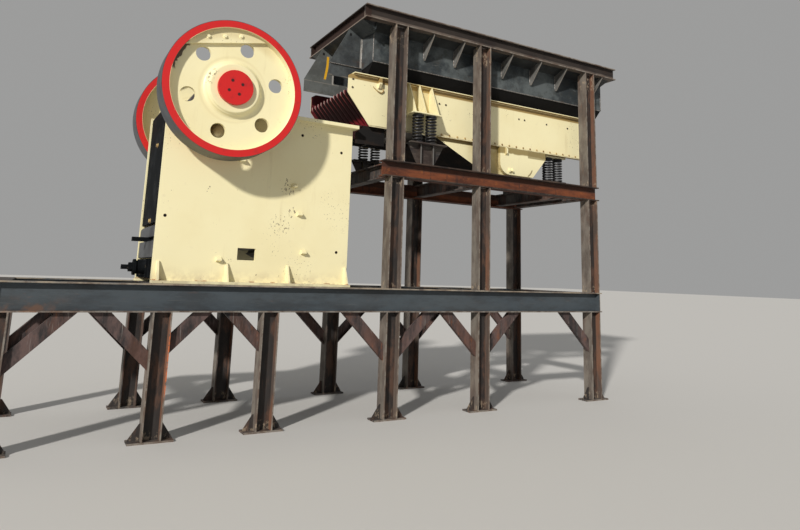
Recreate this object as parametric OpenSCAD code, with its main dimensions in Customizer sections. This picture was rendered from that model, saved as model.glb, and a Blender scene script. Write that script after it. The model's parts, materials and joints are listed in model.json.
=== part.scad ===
// Jaw crusher on a two-storey steel stand, with its vibrating grizzly feeder and feed hopper.
// Millimetres, Z up. X runs along the plant from the crusher's rear (left) to the dump side (right).
// The origin lies on the ground, under the middle of the whole plant.

/* [Stand] */

// Height of the deck girders' top above the ground
deck_h = 1620; // [1400:10:2000]
// Outside width of the stand, across the girders
stand_w = 2050; // [2000:10:2300]
// Depth of the deck girders
girder_h = 300; // [250:10:400]
// Flange width of the deck girders and of the columns
flange_w = 180; // [150:5:200]
// Depth of the columns' and posts' section
column_h = 200; // [150:5:240]
// Overhang of the girders past the outer columns
girder_end = 46; // [20:2:100]
// Reach of the foot plates past the columns
foot_reach = 130; // [100:5:200]
// Reach of the knee braces along the girder
brace_run = 600; // [450:10:700]
// Reach of the shorter knee braces of the crusher's bay
inner_brace_run = 440; // [300:10:500]
// Depth of the knee braces' section
brace_h = 140; // [100:5:180]

/* [Crusher] */

// Length of the crusher's side plates
side_l = 2420; // [2300:10:2600]
// Height of the crusher's side plates
side_h = 2150; // [2000:10:2300]
// Thickness of the side plates
side_t = 45; // [30:1:60]
// Width of the feed opening, which is the swing jaw's width
jaw_w = 1060; // [1000:10:1150]
// Depth of the feed opening, between the jaws at the top
gape = 750; // [700:5:800]
// Gap between the jaws at the bottom
jaw_gap = 110; // [80:5:150]
// Distance of the shaft from the crusher's rear
shaft_x = 642; // [600:2:700]
// Height of the shaft above the side plates' top
shaft_rise = 108; // [60:2:140]
// Throw of the eccentric shaft
throw_r = 16; // [10:1:20]

/* [Flywheels] */

// Radius of the flywheels
wheel_r = 818; // [760:2:860]
// Thickness of the rim, along the radius
rim_t = 88; // [60:2:110]
// Width of the rim, along the shaft
rim_w = 310; // [240:2:330]
// Distance between the outer faces of the two flywheels
wheels_w = 2300; // [2260:10:2500]
// Radius of the round holes in the web
web_hole_r = 88; // [60:1:100]
// Radius of the circle that the web holes lie on
web_hole_circle = 528; // [500:2:560]
// Radius of the hub's outer face
hub_r = 280; // [240:5:300]
// Radius of the hub caps
hub_cap_r = 206; // [180:2:220]
// Turn of the counterweights from the X axis
weight_turn = 102; // [80:1:120]
// Distance of the counterweights' straight edge from the shaft
weight_in = 556; // [520:2:600]
// Thickness of the counterweights
weight_t = 40; // [30:1:60]

/* [Frame] */

// Height of the mid beams' underside above the deck
mid_z = 1470; // [1300:10:1600]
// Depth of the mid beams
mid_h = 220; // [180:10:300]
// Depth of the rim beams
rim_h = 192; // [150:2:250]
// Flange width of the rim beams
rim_flange_w = 120; // [100:5:140]

/* [Hopper] */

// Outside width across the hopper's skirts
skirt_w = 1450; // [1400:10:1550]
// Height of the hopper's upright skirts
skirt_h = 430; // [350:10:500]
// Height of the rim's underside above the feeder
hopper_h = 708; // [650:2:800]

/* [Feeder] */

// Length of the feeder
feeder_l = 4400; // [4200:10:4600]
// Outside width across the feeder's side plates
feeder_w = 1350; // [1250:10:1380]
// Height of the feeder's side plates
feeder_h = 720; // [650:10:780]
// Radius of the coil springs
spring_r = 84; // [60:1:95]
// Number of coils in a spring
spring_coils = 8; // [5:1:12]
// Number of grizzly bars
bar_count = 12; // [8:1:16]

/* [Hidden] */

$fn = 64;

// Plate thicknesses
flange_t = 16;
web_t = 11;
foot_t = 20;
rib_t = 14;
sheet_t = 12;

// Stand and frame. The crusher's rear edge and the deck's top are zero in x and z
first_column = -1510;
crusher_bay = 1200;
frame_x = side_l + 411;
frame_bay = 1463;
dump_bay = 2190;
posts_x = [frame_x, frame_x + frame_bay, frame_x + frame_bay + dump_bay];
columns_x = [first_column, 0, crusher_bay, posts_x[0], posts_x[1], posts_x[2]];
cross_x = [first_column, 0, side_l - 160, posts_x[0], posts_x[1], posts_x[2]];
cross_w = 160;
stand_left = first_column - girder_end;
stand_right = posts_x[2] + column_h + girder_end;
stand_l = stand_right - stand_left;
half_w = stand_w / 2;
girder_y = half_w - flange_w / 2;
girder_in = half_w - flange_w;
girder_bottom = deck_h - girder_h;
foot_rib_h = 170;
brace_leg = 60;
brace_t = 10;
mid_top = mid_z + mid_h;
mid_end = 100;
mid_cross_w = 150;

// Feeder
feeder_left = frame_x - 531;
feeder_right = feeder_left + feeder_l;
feeder_y = feeder_w / 2;
feeder_in = feeder_y - sheet_t;
feeder_z = side_h + 40;
feeder_top = feeder_z + feeder_h;
feeder_flange = 60;
nose_x = feeder_left + 350;
nose_h = 430;
pan_z = feeder_z + 110;
pan_t = 16;
beam_left = feeder_left + 560;
beam_t = 40;
bar_t = 24;
bar_h = 460;
seat_z = feeder_z + 240;
seat_t = 16;
seat_l = 480;
seat_w = 270;
spring_mid = frame_x + 609;
spring_pitch = 220;
spring_y = feeder_y + 175;
spring_h = 426;
stool_y = spring_y + 40;
stool_plate_t = 20;
end_spring_mid = posts_x[2] - 334;
end_spring_y = 560;
end_spring_h = 390;
end_seat_l = 440;
end_seat_w = 180;
end_seat_t = 20;
belly_left = feeder_left + 1450;
belly_deep = feeder_left + 2420;
belly_right = feeder_left + 3500;
belly_h = 470;
exciter_x = feeder_left + 2950;
exciter_r = 140;
exciter_w = 600;
guard_w = 70;

// Hopper
rim_left = frame_x - 467;
rim_right = posts_x[2] + 727;
rim_z = feeder_top + hopper_h;
rim_in = half_w - rim_flange_w;
flare_y = rim_in + 20;
skirt_y = skirt_w / 2;
skirt_bottom = feeder_top + 210;
skirt_top = skirt_bottom + skirt_h;
skirt_left = frame_x - 191;
end_wall_x = rim_right - 66;
lining_in = 155;
lining_z = feeder_top + 50;
bracket_steps = [649, 1189, 2109, 2699, 3249, 4069];
bracket_h = 260;
snout_y = 485;
snout_left = rim_left - 274;
snout_right = rim_left + 211;
band_bottom = feeder_top - 27;
band_h = 192;
band_l = 730;
slope_h = 105;

// Crusher
cheek_t = 40;
cheek_gap = 20;
inner_y = jaw_w / 2 + cheek_gap + cheek_t;
side_y = inner_y + side_t;
base_t = 30;
base_w = 130;
bearer_w = 120;
bearer_y = side_y + base_w - bearer_w / 2;
lip_t = 45;
lip_w = 120;
lip_end = 40;
rib_deep = 140;
feed_wall_x = side_l - 240;
feed_wall_t = 60;
feed_wall_z = 150;
jaw_t = 90;
tooth_h = 60;
teeth = 14;
swing_t = 45;
swing_tooth_h = 35;
jaw_z = 220;
jaw_foot = [feed_wall_x - jaw_t - tooth_h - jaw_gap - 90, 290];
jaw_head = [feed_wall_x - jaw_t - tooth_h - gape - 90, side_h - 80];
jaw_lean = atan2(jaw_foot[0] - jaw_head[0], jaw_head[1] - jaw_foot[1]);
jaw_rise = norm(jaw_head - jaw_foot);
seat_gap = 0.3;

// Rear of the crusher
rear_t = 40;
rear_x = 20;
toggle_z = 290;
toggle_beam_h = 390;
toggle_beam_end = 390;
toggle_seat = [400, 470];
toggle_r = 40;
groove_z = 480;
groove_h = 50;
rod_z = 170;
rod_r = 28;

// Shaft and wheels
shaft_z = side_h + shaft_rise;
journal_r = 110;
eccentric_r = journal_r + throw_r + 4;
housing_r = 250;
housing_w = 170;
housing_out = side_y + 75;
cover_r = 190;
cover_t = 25;
barrel_r = 300;
run_gap = 0.05;
ecc_z = shaft_z - throw_r;
web_plate_t = 50;
web_face = wheels_w / 2 - 90;
hub_face = wheels_w / 2 - 10;
hub_in = housing_out + 110;
hub_fillet = 80;
hub_cap_t = 45;
wheel_in = wheel_r - rim_t;

// Middle of the whole plant, which becomes the origin
plant_left = first_column - foot_reach;
mid_x = (plant_left + rim_right) / 2;

// Points of an arc about c, from one angle to another
function arc(c, r, from, to, steps = 6) =
  [for (i = [0 : steps]) let (a = from + (to - from) * i / steps) c + r * [cos(a), sin(a)]];

// Section of an I beam, its web upright, standing on the X axis
module i_section(h, b) {
  translate([-b / 2, 0]) square([b, flange_t]);
  translate([-b / 2, h - flange_t]) square([b, flange_t]);
  translate([-web_t / 2, 0]) square([web_t, h]);
}

// Section of a channel, its web along X with the back on y = 0, its legs toward +Y
module channel_section(h, b) {
  square([h, brace_t]);
  square([brace_t, b]);
  translate([h - brace_t, 0]) square([brace_t, b]);
}

// I beam along X, from x = 0
module beam_x(l, h, b) {
  rotate([90, 0, 90]) linear_extrude(l) i_section(h, b);
}

// I beam along Y, centred on y = 0
module beam_y(l, h, b) {
  translate([0, l / 2, 0]) rotate([90, 0, 0]) linear_extrude(l) i_section(h, b);
}

// Upright H section with its web along X, its left face on x = 0
module column(l, h = column_h, b = flange_w) {
  linear_extrude(l) rotate([0, 0, -90]) i_section(h, b);
}

// Puts two like things on the near and the far side of the plant
module both_sides(y) {
  for (s = [-1, 1]) translate([0, s * y, 0]) children();
}

// Puts what is drawn for the near side on both sides, the far one as its mirror image
module both_hands() {
  for (s = [0, 1]) mirror([0, s, 0]) children();
}

// Flat plate in the XZ plane from an outline, its middle on y = 0
module upright(t, points) {
  translate([0, t / 2, 0]) rotate([90, 0, 0]) linear_extrude(t) polygon(points);
}

// Flat plate in the YZ plane from an outline of (y, z) points, its middle on x = 0
module crosswise(t, points) {
  translate([-t / 2, 0, 0]) rotate([90, 0, 90]) linear_extrude(t) polygon(points);
}

// Round bar along Y, its middle on y = 0
module round_y(r, l) {
  rotate([90, 0, 0]) cylinder(r = r, h = l, center = true);
}

// Moves what is given from the crusher's rear and the deck to its place in the plant
module on_deck() {
  translate([-mid_x, 0, deck_h]) children();
}

module on_ground() {
  translate([-mid_x, 0, 0]) children();
}

// Stand

module stand_girders() {
  color("slategray") on_ground() both_sides(girder_y) {
    translate([stand_left, 0, girder_bottom]) beam_x(stand_l, girder_h, flange_w);
    for (x = [stand_left + girder_end, stand_right - girder_end])
      translate([x, 0, girder_bottom + flange_t])
        crosswise(web_t, [[-flange_w / 2, 0], [flange_w / 2, 0],
          [flange_w / 2, girder_h - 2 * flange_t], [-flange_w / 2, girder_h - 2 * flange_t]]);
  }
}

module stand_cross_girders() {
  color("dimgray") on_ground()
    for (x = cross_x) translate([x + column_h / 2, 0, girder_bottom + flange_t])
      beam_y(2 * girder_in, girder_h - flange_t, cross_w);
}

// Bearers under the crusher's feet, from one cross girder to the next
module stand_bearers() {
  bearer_x = cross_x[1] + column_h / 2 + cross_w / 2;
  color("dimgray") on_deck() both_sides(bearer_y)
    translate([bearer_x, 0, flange_t - girder_h])
      beam_x(cross_x[2] - cross_x[1] - cross_w, girder_h - flange_t, bearer_w);
}

module stand_columns() {
  color("saddlebrown") on_ground() both_sides(girder_y)
    for (x = columns_x) translate([x, 0, foot_t]) column(girder_bottom - foot_t);
}

// Foot plates with a flared rib on each side of the column
module stand_feet() {
  color("saddlebrown") on_ground() both_sides(girder_y)
    for (x = columns_x) {
      translate([x - foot_reach, -flange_w / 2, 0])
        cube([column_h + 2 * foot_reach, flange_w, foot_t]);
      for (s = [0, 1]) translate([x + column_h * s, 0, foot_t]) mirror([1 - s, 0, 0])
        upright(rib_t, [[0, 0], [foot_reach - 10, 0], [foot_reach - 10, 15], [15, foot_rib_h],
          [0, foot_rib_h]]);
    }
}

// Channel that leans to the right from the column's face up to the girder, its web on the outside
module knee_brace(run) {
  intersection() {
    translate([0, 0, -run - 2 * brace_h]) cube([2 * run, flange_w, run + 2 * brace_h]);
    translate([0, flange_w / 2 - brace_leg / 2, -run]) rotate([0, 45, 0])
      translate([-brace_h, 0, -run]) linear_extrude(3 * run) channel_section(brace_h, brace_leg);
  }
}

module stand_knee_braces() {
  color("brown") on_ground() both_hands() translate([0, -half_w, girder_bottom]) {
    for (i = [0, 3, 4]) translate([columns_x[i] + column_h, 0, 0]) knee_brace(brace_run);
    translate([columns_x[1] + column_h, 0, 0]) knee_brace(inner_brace_run);
    translate([columns_x[2], 0, 0]) mirror([1, 0, 0]) knee_brace(inner_brace_run);
    for (i = [1, 3, 4, 5]) translate([columns_x[i], 0, 0]) mirror([1, 0, 0]) knee_brace(brace_run);
  }
}

// Frame above the deck

module frame_posts() {
  color("saddlebrown") on_deck() both_sides(girder_y)
    for (x = posts_x) translate([x, 0, 0]) {
      column(mid_z);
      translate([0, 0, mid_top]) column(rim_z - mid_top);
    }
}

module frame_mid_beams() {
  color("brown") on_deck() both_sides(girder_y)
    translate([posts_x[0] - mid_end, 0, mid_z])
      beam_x(stand_right - posts_x[0] + mid_end, mid_h, flange_w);
}

module frame_cross_beams() {
  color("saddlebrown") on_deck()
    for (x = [for (p = posts_x) p + column_h / 2, end_spring_mid])
      translate([x, 0, mid_z + flange_t]) beam_y(2 * girder_in, mid_h - flange_t, mid_cross_w);
}

// Short stubs that carry the feeder's springs, each with a plate and two wings
module spring_stools() {
  plate_z = seat_z - spring_h - stool_plate_t;
  stub_h = plate_z - mid_top;
  stub_l = 220;
  stub_w = 110;
  plate_l = spring_pitch + 2 * spring_r + 212;
  plate_w = 170;
  wing = (plate_l - stub_l) / 2 - 15;
  color("dimgray") on_deck() {
    both_sides(stool_y) translate([spring_mid, 0, 0]) {
      translate([-plate_l / 2, -plate_w / 2 - 20, plate_z]) cube([plate_l, plate_w, stool_plate_t]);
      translate([-stub_l / 2, 0, mid_top]) column(stub_h, stub_l, stub_w);
      for (s = [0, 1]) mirror([s, 0, 0]) translate([stub_l / 2, 0, plate_z])
        upright(rib_t, [[0, 0], [wing, 0], [wing, -20], [20, -stub_h], [0, -stub_h]]);
    }
    both_sides(end_spring_y) translate([end_spring_mid, 0, mid_top]) {
      end_h = feeder_z - end_seat_t - end_spring_h - mid_top;
      translate([-end_seat_l / 2, -end_seat_w / 2, end_h - end_seat_t])
        cube([end_seat_l, end_seat_w, end_seat_t]);
      for (s = [0, 1]) mirror([s, 0, 0])
        translate([40, -end_seat_w / 2, 0]) cube([rib_t, end_seat_w, end_h - end_seat_t]);
    }
  }
}

// Hopper

module rim_side_beams() {
  color("dimgray") on_deck() both_sides(half_w - rim_flange_w / 2)
    translate([rim_left, 0, rim_z]) beam_x(rim_right - rim_left, rim_h, rim_flange_w);
}

module rim_end_beams() {
  color("dimgray") on_deck()
    for (x = [rim_left + rim_flange_w / 2, rim_right - rim_flange_w / 2])
      translate([x, 0, rim_z]) beam_y(2 * rim_in, rim_h, rim_flange_w);
}

// Near wall of the hopper: flared top, upright skirt and lining that slopes in over the feeder
module side_wall() {
  translate([skirt_left, 0, 0]) rotate([90, 0, 90]) linear_extrude(end_wall_x - skirt_left)
    polygon([[-flare_y, rim_z], [-skirt_y, skirt_top], [-skirt_y, skirt_bottom],
      [-skirt_y + lining_in, lining_z], [-skirt_y + lining_in + sheet_t, lining_z + 4],
      [-skirt_y + sheet_t, skirt_bottom + 6], [-skirt_y + sheet_t, skirt_top + 9],
      [-flare_y + 37, rim_z]]);
  translate([snout_right - 10, 0, 0]) rotate([90, 0, 90])
    linear_extrude(skirt_left - snout_right + 30)
      polygon([[-flare_y + 8, rim_z], [-skirt_y + 5, skirt_top + 2], [-skirt_y + 9, skirt_top + 6],
        [-flare_y + 32, rim_z]]);
}

// The flared top is notched round the posts
module hopper_side_walls() {
  notch_gap = 2;
  color([0.25, 0.27, 0.3]) on_deck() both_hands() difference() {
    side_wall();
    for (x = posts_x) translate([x - notch_gap, -half_w, skirt_top])
      cube([column_h + 2 * notch_gap, flange_w + notch_gap, rim_z - skirt_top + 1]);
  }
}

module hopper_end_wall() {
  end_z = skirt_bottom + 280;
  end_run = 505;
  end_wall_in = end_wall_x + sheet_t / 2;
  color([0.25, 0.27, 0.3]) on_deck() {
    translate([end_wall_x, -skirt_y, skirt_bottom])
      cube([sheet_t, 2 * skirt_y, rim_z - skirt_bottom]);
    upright(2 * (skirt_y - lining_in - sheet_t) - 6, [[end_wall_in, end_z], [end_wall_in, end_z - 15],
      [end_wall_x - end_run, lining_z], [end_wall_x - end_run - rib_t, lining_z]]);
  }
}

// Triangular plates that hang the skirts under the rim
module hopper_brackets() {
  color([0.22, 0.22, 0.24]) on_deck() both_hands()
    for (step = bracket_steps) translate([frame_x + step, 0, 0])
      crosswise(rib_t, [[-half_w + 20, rim_z], [-flare_y, rim_z], [-skirt_y, skirt_top],
        [-skirt_y, skirt_top - bracket_h], [-skirt_y - 30, skirt_top - bracket_h],
        [-half_w + 20, rim_z - 20]]);
}

// Sloped plate under the rim's end beam, which the snout's points carry
module front_flare() {
  upright(2 * rim_in, [[rim_left, rim_z], [rim_left + 24, rim_z],
    [snout_right + 4, rim_z - slope_h + sheet_t - 2], [snout_right + 4, rim_z - slope_h - 2]]);
}

// Two pointed plates with a band below, and the cut corners that join them to the skirts
module hopper_snout() {
  band_top = band_bottom + band_h;
  color([0.25, 0.27, 0.3]) on_deck() front_flare();
  color([0.25, 0.27, 0.3]) on_deck() both_hands() {
    translate([0, -snout_y, 0]) upright(rib_t, [[rim_left + 4, rim_z - 1], [rim_left + 12, rim_z - 3],
      [snout_right, rim_z - slope_h + 6], [snout_right, band_top - 15],
      [snout_left, band_top - 15], [snout_left, band_top]]);
    translate([snout_left, -snout_y + rib_t / 2, band_bottom]) cube([band_l, rib_t, band_h]);
    translate([0, 0, skirt_bottom]) linear_extrude(skirt_h - 8)
      polygon([[skirt_left, -skirt_y], [skirt_left, -skirt_y + sheet_t],
        [snout_right, -snout_y + rib_t / 2], [snout_right, -snout_y - rib_t / 2]]);
  }
}

// Feeder

// Side plates with their flanges, the cut nose and a lifting lug
module feeder_sides() {
  lug_x = feeder_left + 460;
  color("wheat") on_deck() both_hands() translate([0, -feeder_y, 0]) {
    translate([0, sheet_t / 2, 0]) upright(sheet_t, [[feeder_left, feeder_top - 45],
      [feeder_left, feeder_top - 290], [nose_x, feeder_z], [feeder_right, feeder_z],
      [feeder_right, feeder_top], [feeder_left + 70, feeder_top]]);
    translate([feeder_left + 70, -feeder_flange, feeder_top - rib_t])
      cube([feeder_l - 70, feeder_flange, rib_t]);
    translate([belly_left, -feeder_flange, feeder_z])
      cube([feeder_right - belly_left, feeder_flange, rib_t]);
    translate([lug_x + 20, 0, feeder_top - rib_t])
      crosswise(40, [[0, 0], [-feeder_flange, 0], [-feeder_flange, -90], [-20, -145], [0, -145]]);
  }
}

// Floor of the feeder with its cross ribs and end plate
module feeder_pan() {
  pan_left = beam_left + beam_t;
  pan_l = feeder_right - pan_left;
  end_h = 420;
  rib_h = pan_z - feeder_z - 10;
  color("tan") on_deck() translate([pan_left, -feeder_in, pan_z]) {
    cube([pan_l, 2 * feeder_in, pan_t]);
    translate([pan_l - sheet_t, 0, pan_t]) cube([sheet_t, 2 * feeder_in, end_h]);
    for (x = [300, 1200, pan_l - 1050, pan_l - 500]) translate([x, 0, -rib_h])
      cube([rib_t, 2 * feeder_in, rib_h]);
  }
}

// Upright bars with free ends, their lower edge rising toward the crusher
module grizzly_bars() {
  bar_top = feeder_z + 500;
  side_gap = 30;
  pitch = 2 * (feeder_in - side_gap) / (bar_count - 1);
  color("maroon") on_deck() for (i = [0 : bar_count - 1])
    translate([0, -feeder_in + side_gap + i * pitch, 0])
      upright(bar_t, [[feeder_left + 10, bar_top], [feeder_left + 10, bar_top - 40],
        [nose_x + 30, feeder_z + 40], [beam_left, feeder_z + 40], [beam_left, bar_top]]);
}

module grizzly_beam() {
  color("maroon") on_deck() translate([beam_left, -feeder_in, feeder_z + 36])
    cube([beam_t, 2 * feeder_in, bar_h]);
}

// Belly under the feeder: two side plates and the long sloped plate between them
module feeder_underbody() {
  belly_z = feeder_z - belly_h;
  belly_cut = 300;
  belly_end_h = 150;
  color("wheat") on_deck() {
    both_sides(feeder_y - sheet_t / 2) upright(sheet_t, [[belly_left, feeder_z],
      [belly_deep, belly_z], [belly_right - belly_cut, belly_z + 40],
      [belly_right, feeder_z - belly_end_h], [belly_right, feeder_z]]);
    upright(2 * feeder_in, [[belly_left, feeder_z], [belly_left + 20, feeder_z],
      [belly_deep + 2, belly_z + 12], [belly_deep, belly_z]]);
  }
}

// Two shaft tubes of the exciter, hung from a box under the pan
module feeder_exciter() {
  shaft_drop = 230;
  tube_gap = 340;
  box_l = 720;
  box_z = feeder_z - 80;
  saddle_w = 400;
  color("darkslategray") on_deck() translate([exciter_x, 0, 0]) {
    for (s = [-1, 1]) translate([s * tube_gap / 2, 0, feeder_z - shaft_drop])
      round_y(exciter_r, 1.5 * exciter_w);
    translate([-box_l / 2, -exciter_w / 2, box_z]) cube([box_l, exciter_w, pan_z - box_z]);
    translate([-saddle_w / 2, -exciter_w / 2, box_z - 30]) cube([saddle_w, exciter_w, 40]);
  }
}

// Cover of the exciter's drive: round at its lower left, cut at its right, with a lug on top
module feeder_guard() {
  guard_l = 930;
  guard_h = 425;
  round_r = 180;
  guard_x = exciter_x - 350;
  low = feeder_z - guard_h;
  color("wheat") on_deck() translate([0, -feeder_y - guard_w / 2, 0]) {
    upright(guard_w, concat([[guard_x, feeder_z]], arc([guard_x + round_r, low + round_r],
      round_r, 180, 270), [[guard_x + 660, low], [guard_x + guard_l, low + 315],
      [guard_x + guard_l, feeder_z]]));
    translate([guard_x + 110, -guard_w / 2, feeder_z - 30])
      crosswise(30, [[0, 30], [-40, 0], [-40, -70], [0, -100]]);
  }
}

// Plates on the springs, with the tall ribs of the front seats
module spring_seats() {
  color("wheat") on_deck() {
    both_hands() translate([spring_mid, -feeder_y, seat_z]) {
      translate([-seat_l / 2, -seat_w, 0]) cube([seat_l, seat_w, seat_t]);
      for (dx = [-190, -20, 190]) translate([dx, 0, seat_t])
        crosswise(rib_t, [[0, 0], [0, feeder_top - rib_t - seat_z - seat_t],
          [-feeder_flange, feeder_top - rib_t - seat_z - seat_t], [10 - seat_w, 0]]);
    }
    both_hands() translate([end_spring_mid, -end_spring_y, feeder_z - end_seat_t]) {
      translate([-end_seat_l / 2, -end_seat_w / 2, 0]) cube([end_seat_l, end_seat_w, end_seat_t]);
      for (s = [0, 1]) mirror([s, 0, 0])
        translate([end_seat_l / 2 - 34, end_spring_y - feeder_in, end_seat_t])
          cube([rib_t, feeder_in - end_spring_y, pan_z - feeder_z]);
    }
  }
}

// Coil spring as a ribbed sleeve of the coils' own outline
module spring(h) {
  step = h / spring_coils;
  low = spring_r - 20;
  rotate_extrude() polygon(concat([[low - 10, h], [low - 10, 0]],
    [for (i = [0 : spring_coils - 1]) each [[low, step * i], [spring_r, step * (i + 0.25)],
      [spring_r, step * (i + 0.6)], [low, step * (i + 0.85)]]], [[low, h]]));
}

module feeder_springs() {
  color([0.1, 0.1, 0.1]) on_deck() for (s = [-1, 1]) {
    both_sides(spring_y)
      translate([spring_mid + s * spring_pitch / 2, 0, seat_z - spring_h]) spring(spring_h);
    both_sides(end_spring_y)
      translate([end_spring_mid + s * spring_pitch / 2, 0, feeder_z - end_seat_t - end_spring_h])
        spring(end_spring_h);
  }
}

// Floor that slopes down over the crusher's feed wall, and the two side plates under the feeder
module discharge_chute() {
  chute_top = feeder_z + 40;
  chute_side_h = 285;
  chute_left = side_l + 60;
  color("maroon") on_deck() {
    upright(2 * inner_y, [[nose_x - 320, side_h + 10], [nose_x - 326, side_h + 24],
      [nose_x - 10, chute_top], [beam_left, chute_top], [beam_left, chute_top - pan_t],
      [nose_x - 6, chute_top - pan_t]]);
    both_sides(inner_y + 8) upright(16, [[chute_left, chute_top - 140],
      [chute_left, chute_top - chute_side_h - 5], [beam_left + 70, chute_top - chute_side_h + 5],
      [beam_left + 70, chute_top - 5], [nose_x - 10, chute_top - 5]]);
  }
}

// Crusher

// Near side plate, with its foot, ribs, lip, small lugs and holes
module crusher_side() {
  hole_x = 958;
  hole_z = 292;
  hole = [223, 144];
  pin_r = 16;
  rib_h = 220;
  translate([0, side_t / 2, 0]) difference() {
    upright(side_t, [[0, 0], [side_l, 0], [side_l, side_h], [0, side_h]]);
    translate([shaft_x, 0, shaft_z]) round_y(housing_r, side_t + 2);
    translate([hole_x, -side_t, hole_z]) cube([hole[0], side_t * 2, hole[1]]);
    for (p = [[88, side_h - 1385], [side_l - 153, side_h - 381], [side_l - 160, 440],
      [side_l - 720, side_h - 218]]) translate([p[0], 0, p[1]]) round_y(pin_r, side_t + 2);
  }
  translate([0, -base_w, 0]) cube([side_l, base_w, base_t]);
  for (x = [60, 840, side_l - 820, side_l - 30]) translate([x, 0, base_t])
    crosswise(20, [[0, 0], [-base_w + 10, 0], [-20, rib_h], [0, rib_h]]);
  translate([side_l - 1120, -lip_w, side_h - lip_t])
    cube([1120 + lip_end, lip_w + side_t, lip_t]);
  for (p = [[735, 260], [side_l - 1485, side_h - 670], [side_l - 800, side_h - 925],
    [side_l - 705, side_h - 1280], [side_l - 624, 390]]) translate([p[0], 0, p[1]])
      crosswise(60, [[0, 0], [-60, 15], [-60, 32], [0, 64]]);
}

module crusher_near_side() {
  color("wheat") on_deck() translate([0, -side_y, 0]) crusher_side();
}

module crusher_far_side() {
  color("wheat") on_deck() mirror([0, 1, 0]) translate([0, -side_y, 0]) crusher_side();
}

// Front wall behind the fixed jaw, with its level and upright ribs
module crusher_feed_wall() {
  wall_h = side_h - lip_t - feed_wall_z;
  rib_step = 600;
  color("wheat") on_deck() translate([feed_wall_x, 0, feed_wall_z]) {
    translate([0, -inner_y, 0]) cube([feed_wall_t, 2 * inner_y, wall_h]);
    for (z = [0, rib_step, 2 * rib_step, wall_h - 145]) translate([feed_wall_t, -inner_y, z])
      cube([rib_deep, 2 * inner_y, 45]);
    for (y = [-300, 0, 300]) translate([feed_wall_t, y - 20, 0])
      cube([rib_deep, 40, wall_h - 145]);
  }
}

// Rear wall above and below the toggle beam, the lower one with upright ribs
module crusher_rear_wall() {
  wall_z = toggle_z + toggle_beam_h + 20;
  low_z = 50;
  low_h = toggle_z - low_z - 20;
  color([0.12, 0.12, 0.13]) on_deck() translate([rear_x, -inner_y, 0]) {
    translate([0, 0, wall_z]) cube([rear_t, 2 * inner_y, side_h - 30 - wall_z]);
    for (k = [0.05, 0.45, 0.85]) translate([rear_t, 0, wall_z + k * (side_h - wall_z)])
      cube([80, 2 * inner_y, 30]);
    difference() {
      translate([0, 0, low_z]) cube([rear_t, 2 * inner_y, low_h]);
      translate([-1, inner_y, rod_z]) rotate([0, 90, 0]) cylinder(r = rod_r + 2, h = rear_t + 2);
    }
    for (k = [0.12, 0.3, 0.7, 0.88]) translate([-30, k * 2 * inner_y - 15, low_z])
      cube([30, 30, low_h]);
  }
}

// Beam that carries the toggle, with a rounded top edge, a groove at its rear and the toggle's seat
module toggle_beam() {
  beam_x0 = rear_x - 10;
  edge_r = 60;
  color([0.3, 0.3, 0.32]) on_deck() difference() {
    upright(2 * inner_y, concat([[beam_x0, toggle_z]], [[toggle_beam_end, toggle_z],
      [toggle_beam_end, toggle_z + toggle_beam_h]],
      arc([beam_x0 + edge_r, toggle_z + toggle_beam_h - edge_r], edge_r, 90, 180)));
    translate([toggle_seat[0], 0, toggle_seat[1]]) round_y(toggle_r + run_gap, 2 * inner_y + 2);
    translate([beam_x0 - 1, -inner_y - 1, groove_z]) cube([51, 2 * inner_y + 2, groove_h]);
  }
}

// Toggle with its round seat, short of the swing jaw by the room for its travel
module toggle_plate() {
  toggle_w = jaw_w - 160;
  toggle_end = jaw_foot[0] - 490;
  color("gray") on_deck() {
    translate([toggle_seat[0], 0, toggle_seat[1]]) round_y(toggle_r, toggle_w);
    translate([toggle_seat[0], -toggle_w / 2, toggle_seat[1] - 25])
      cube([toggle_end - toggle_seat[0], toggle_w, 50]);
  }
}

// Bar that sticks out of the toggle beam's groove
module adjusting_bar() {
  color([0.08, 0.08, 0.08]) on_deck()
    translate([-160, -40, groove_z]) cube([160 + rear_x + 40, 80, groove_h]);
}

// Jaw plate with upright teeth on its right face, its back on x = 0
module toothed_plate(l, w, body_t, tooth) {
  pitch = w / teeth;
  linear_extrude(l) polygon(concat([[0, w / 2], [0, -w / 2], [body_t, -w / 2]],
    [for (i = [0 : teeth - 1]) each [[body_t + tooth, -w / 2 + (i + 0.35) * pitch],
      [body_t + tooth, -w / 2 + (i + 0.65) * pitch], [body_t, -w / 2 + (i + 1) * pitch]]]));
}

module fixed_jaw() {
  color("gray") on_deck() translate([feed_wall_x, 0, jaw_z]) mirror([1, 0, 0])
    toothed_plate(side_h - jaw_z - 90, 2 * (inner_y - cheek_t) - 10, jaw_t, tooth_h);
}

// Wedge-shaped linings between the jaws
module cheek_plates() {
  right = feed_wall_x - jaw_t - tooth_h - 30;
  color("gray") on_deck() both_sides(inner_y - cheek_t / 2)
    upright(cheek_t, [[jaw_head[0] + 220, side_h - 90], [right, side_h - 90], [right, jaw_foot[1] + 40],
      [jaw_foot[0] + 30, jaw_foot[1] + 40], [jaw_foot[0] - 270, jaw_foot[1] + 710]]);
}

// Bearing housings in the side plates' top, each with a cover
module bearing_housings() {
  color("wheat") on_deck() both_hands() translate([shaft_x, -housing_out, shaft_z]) difference() {
    union() {
      translate([0, housing_w / 2, 0]) round_y(housing_r, housing_w);
      translate([0, -cover_t / 2, 0]) round_y(cover_r, cover_t);
    }
    translate([0, housing_w / 2, 0]) round_y(journal_r + run_gap, 2 * housing_w);
  }
}

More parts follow.
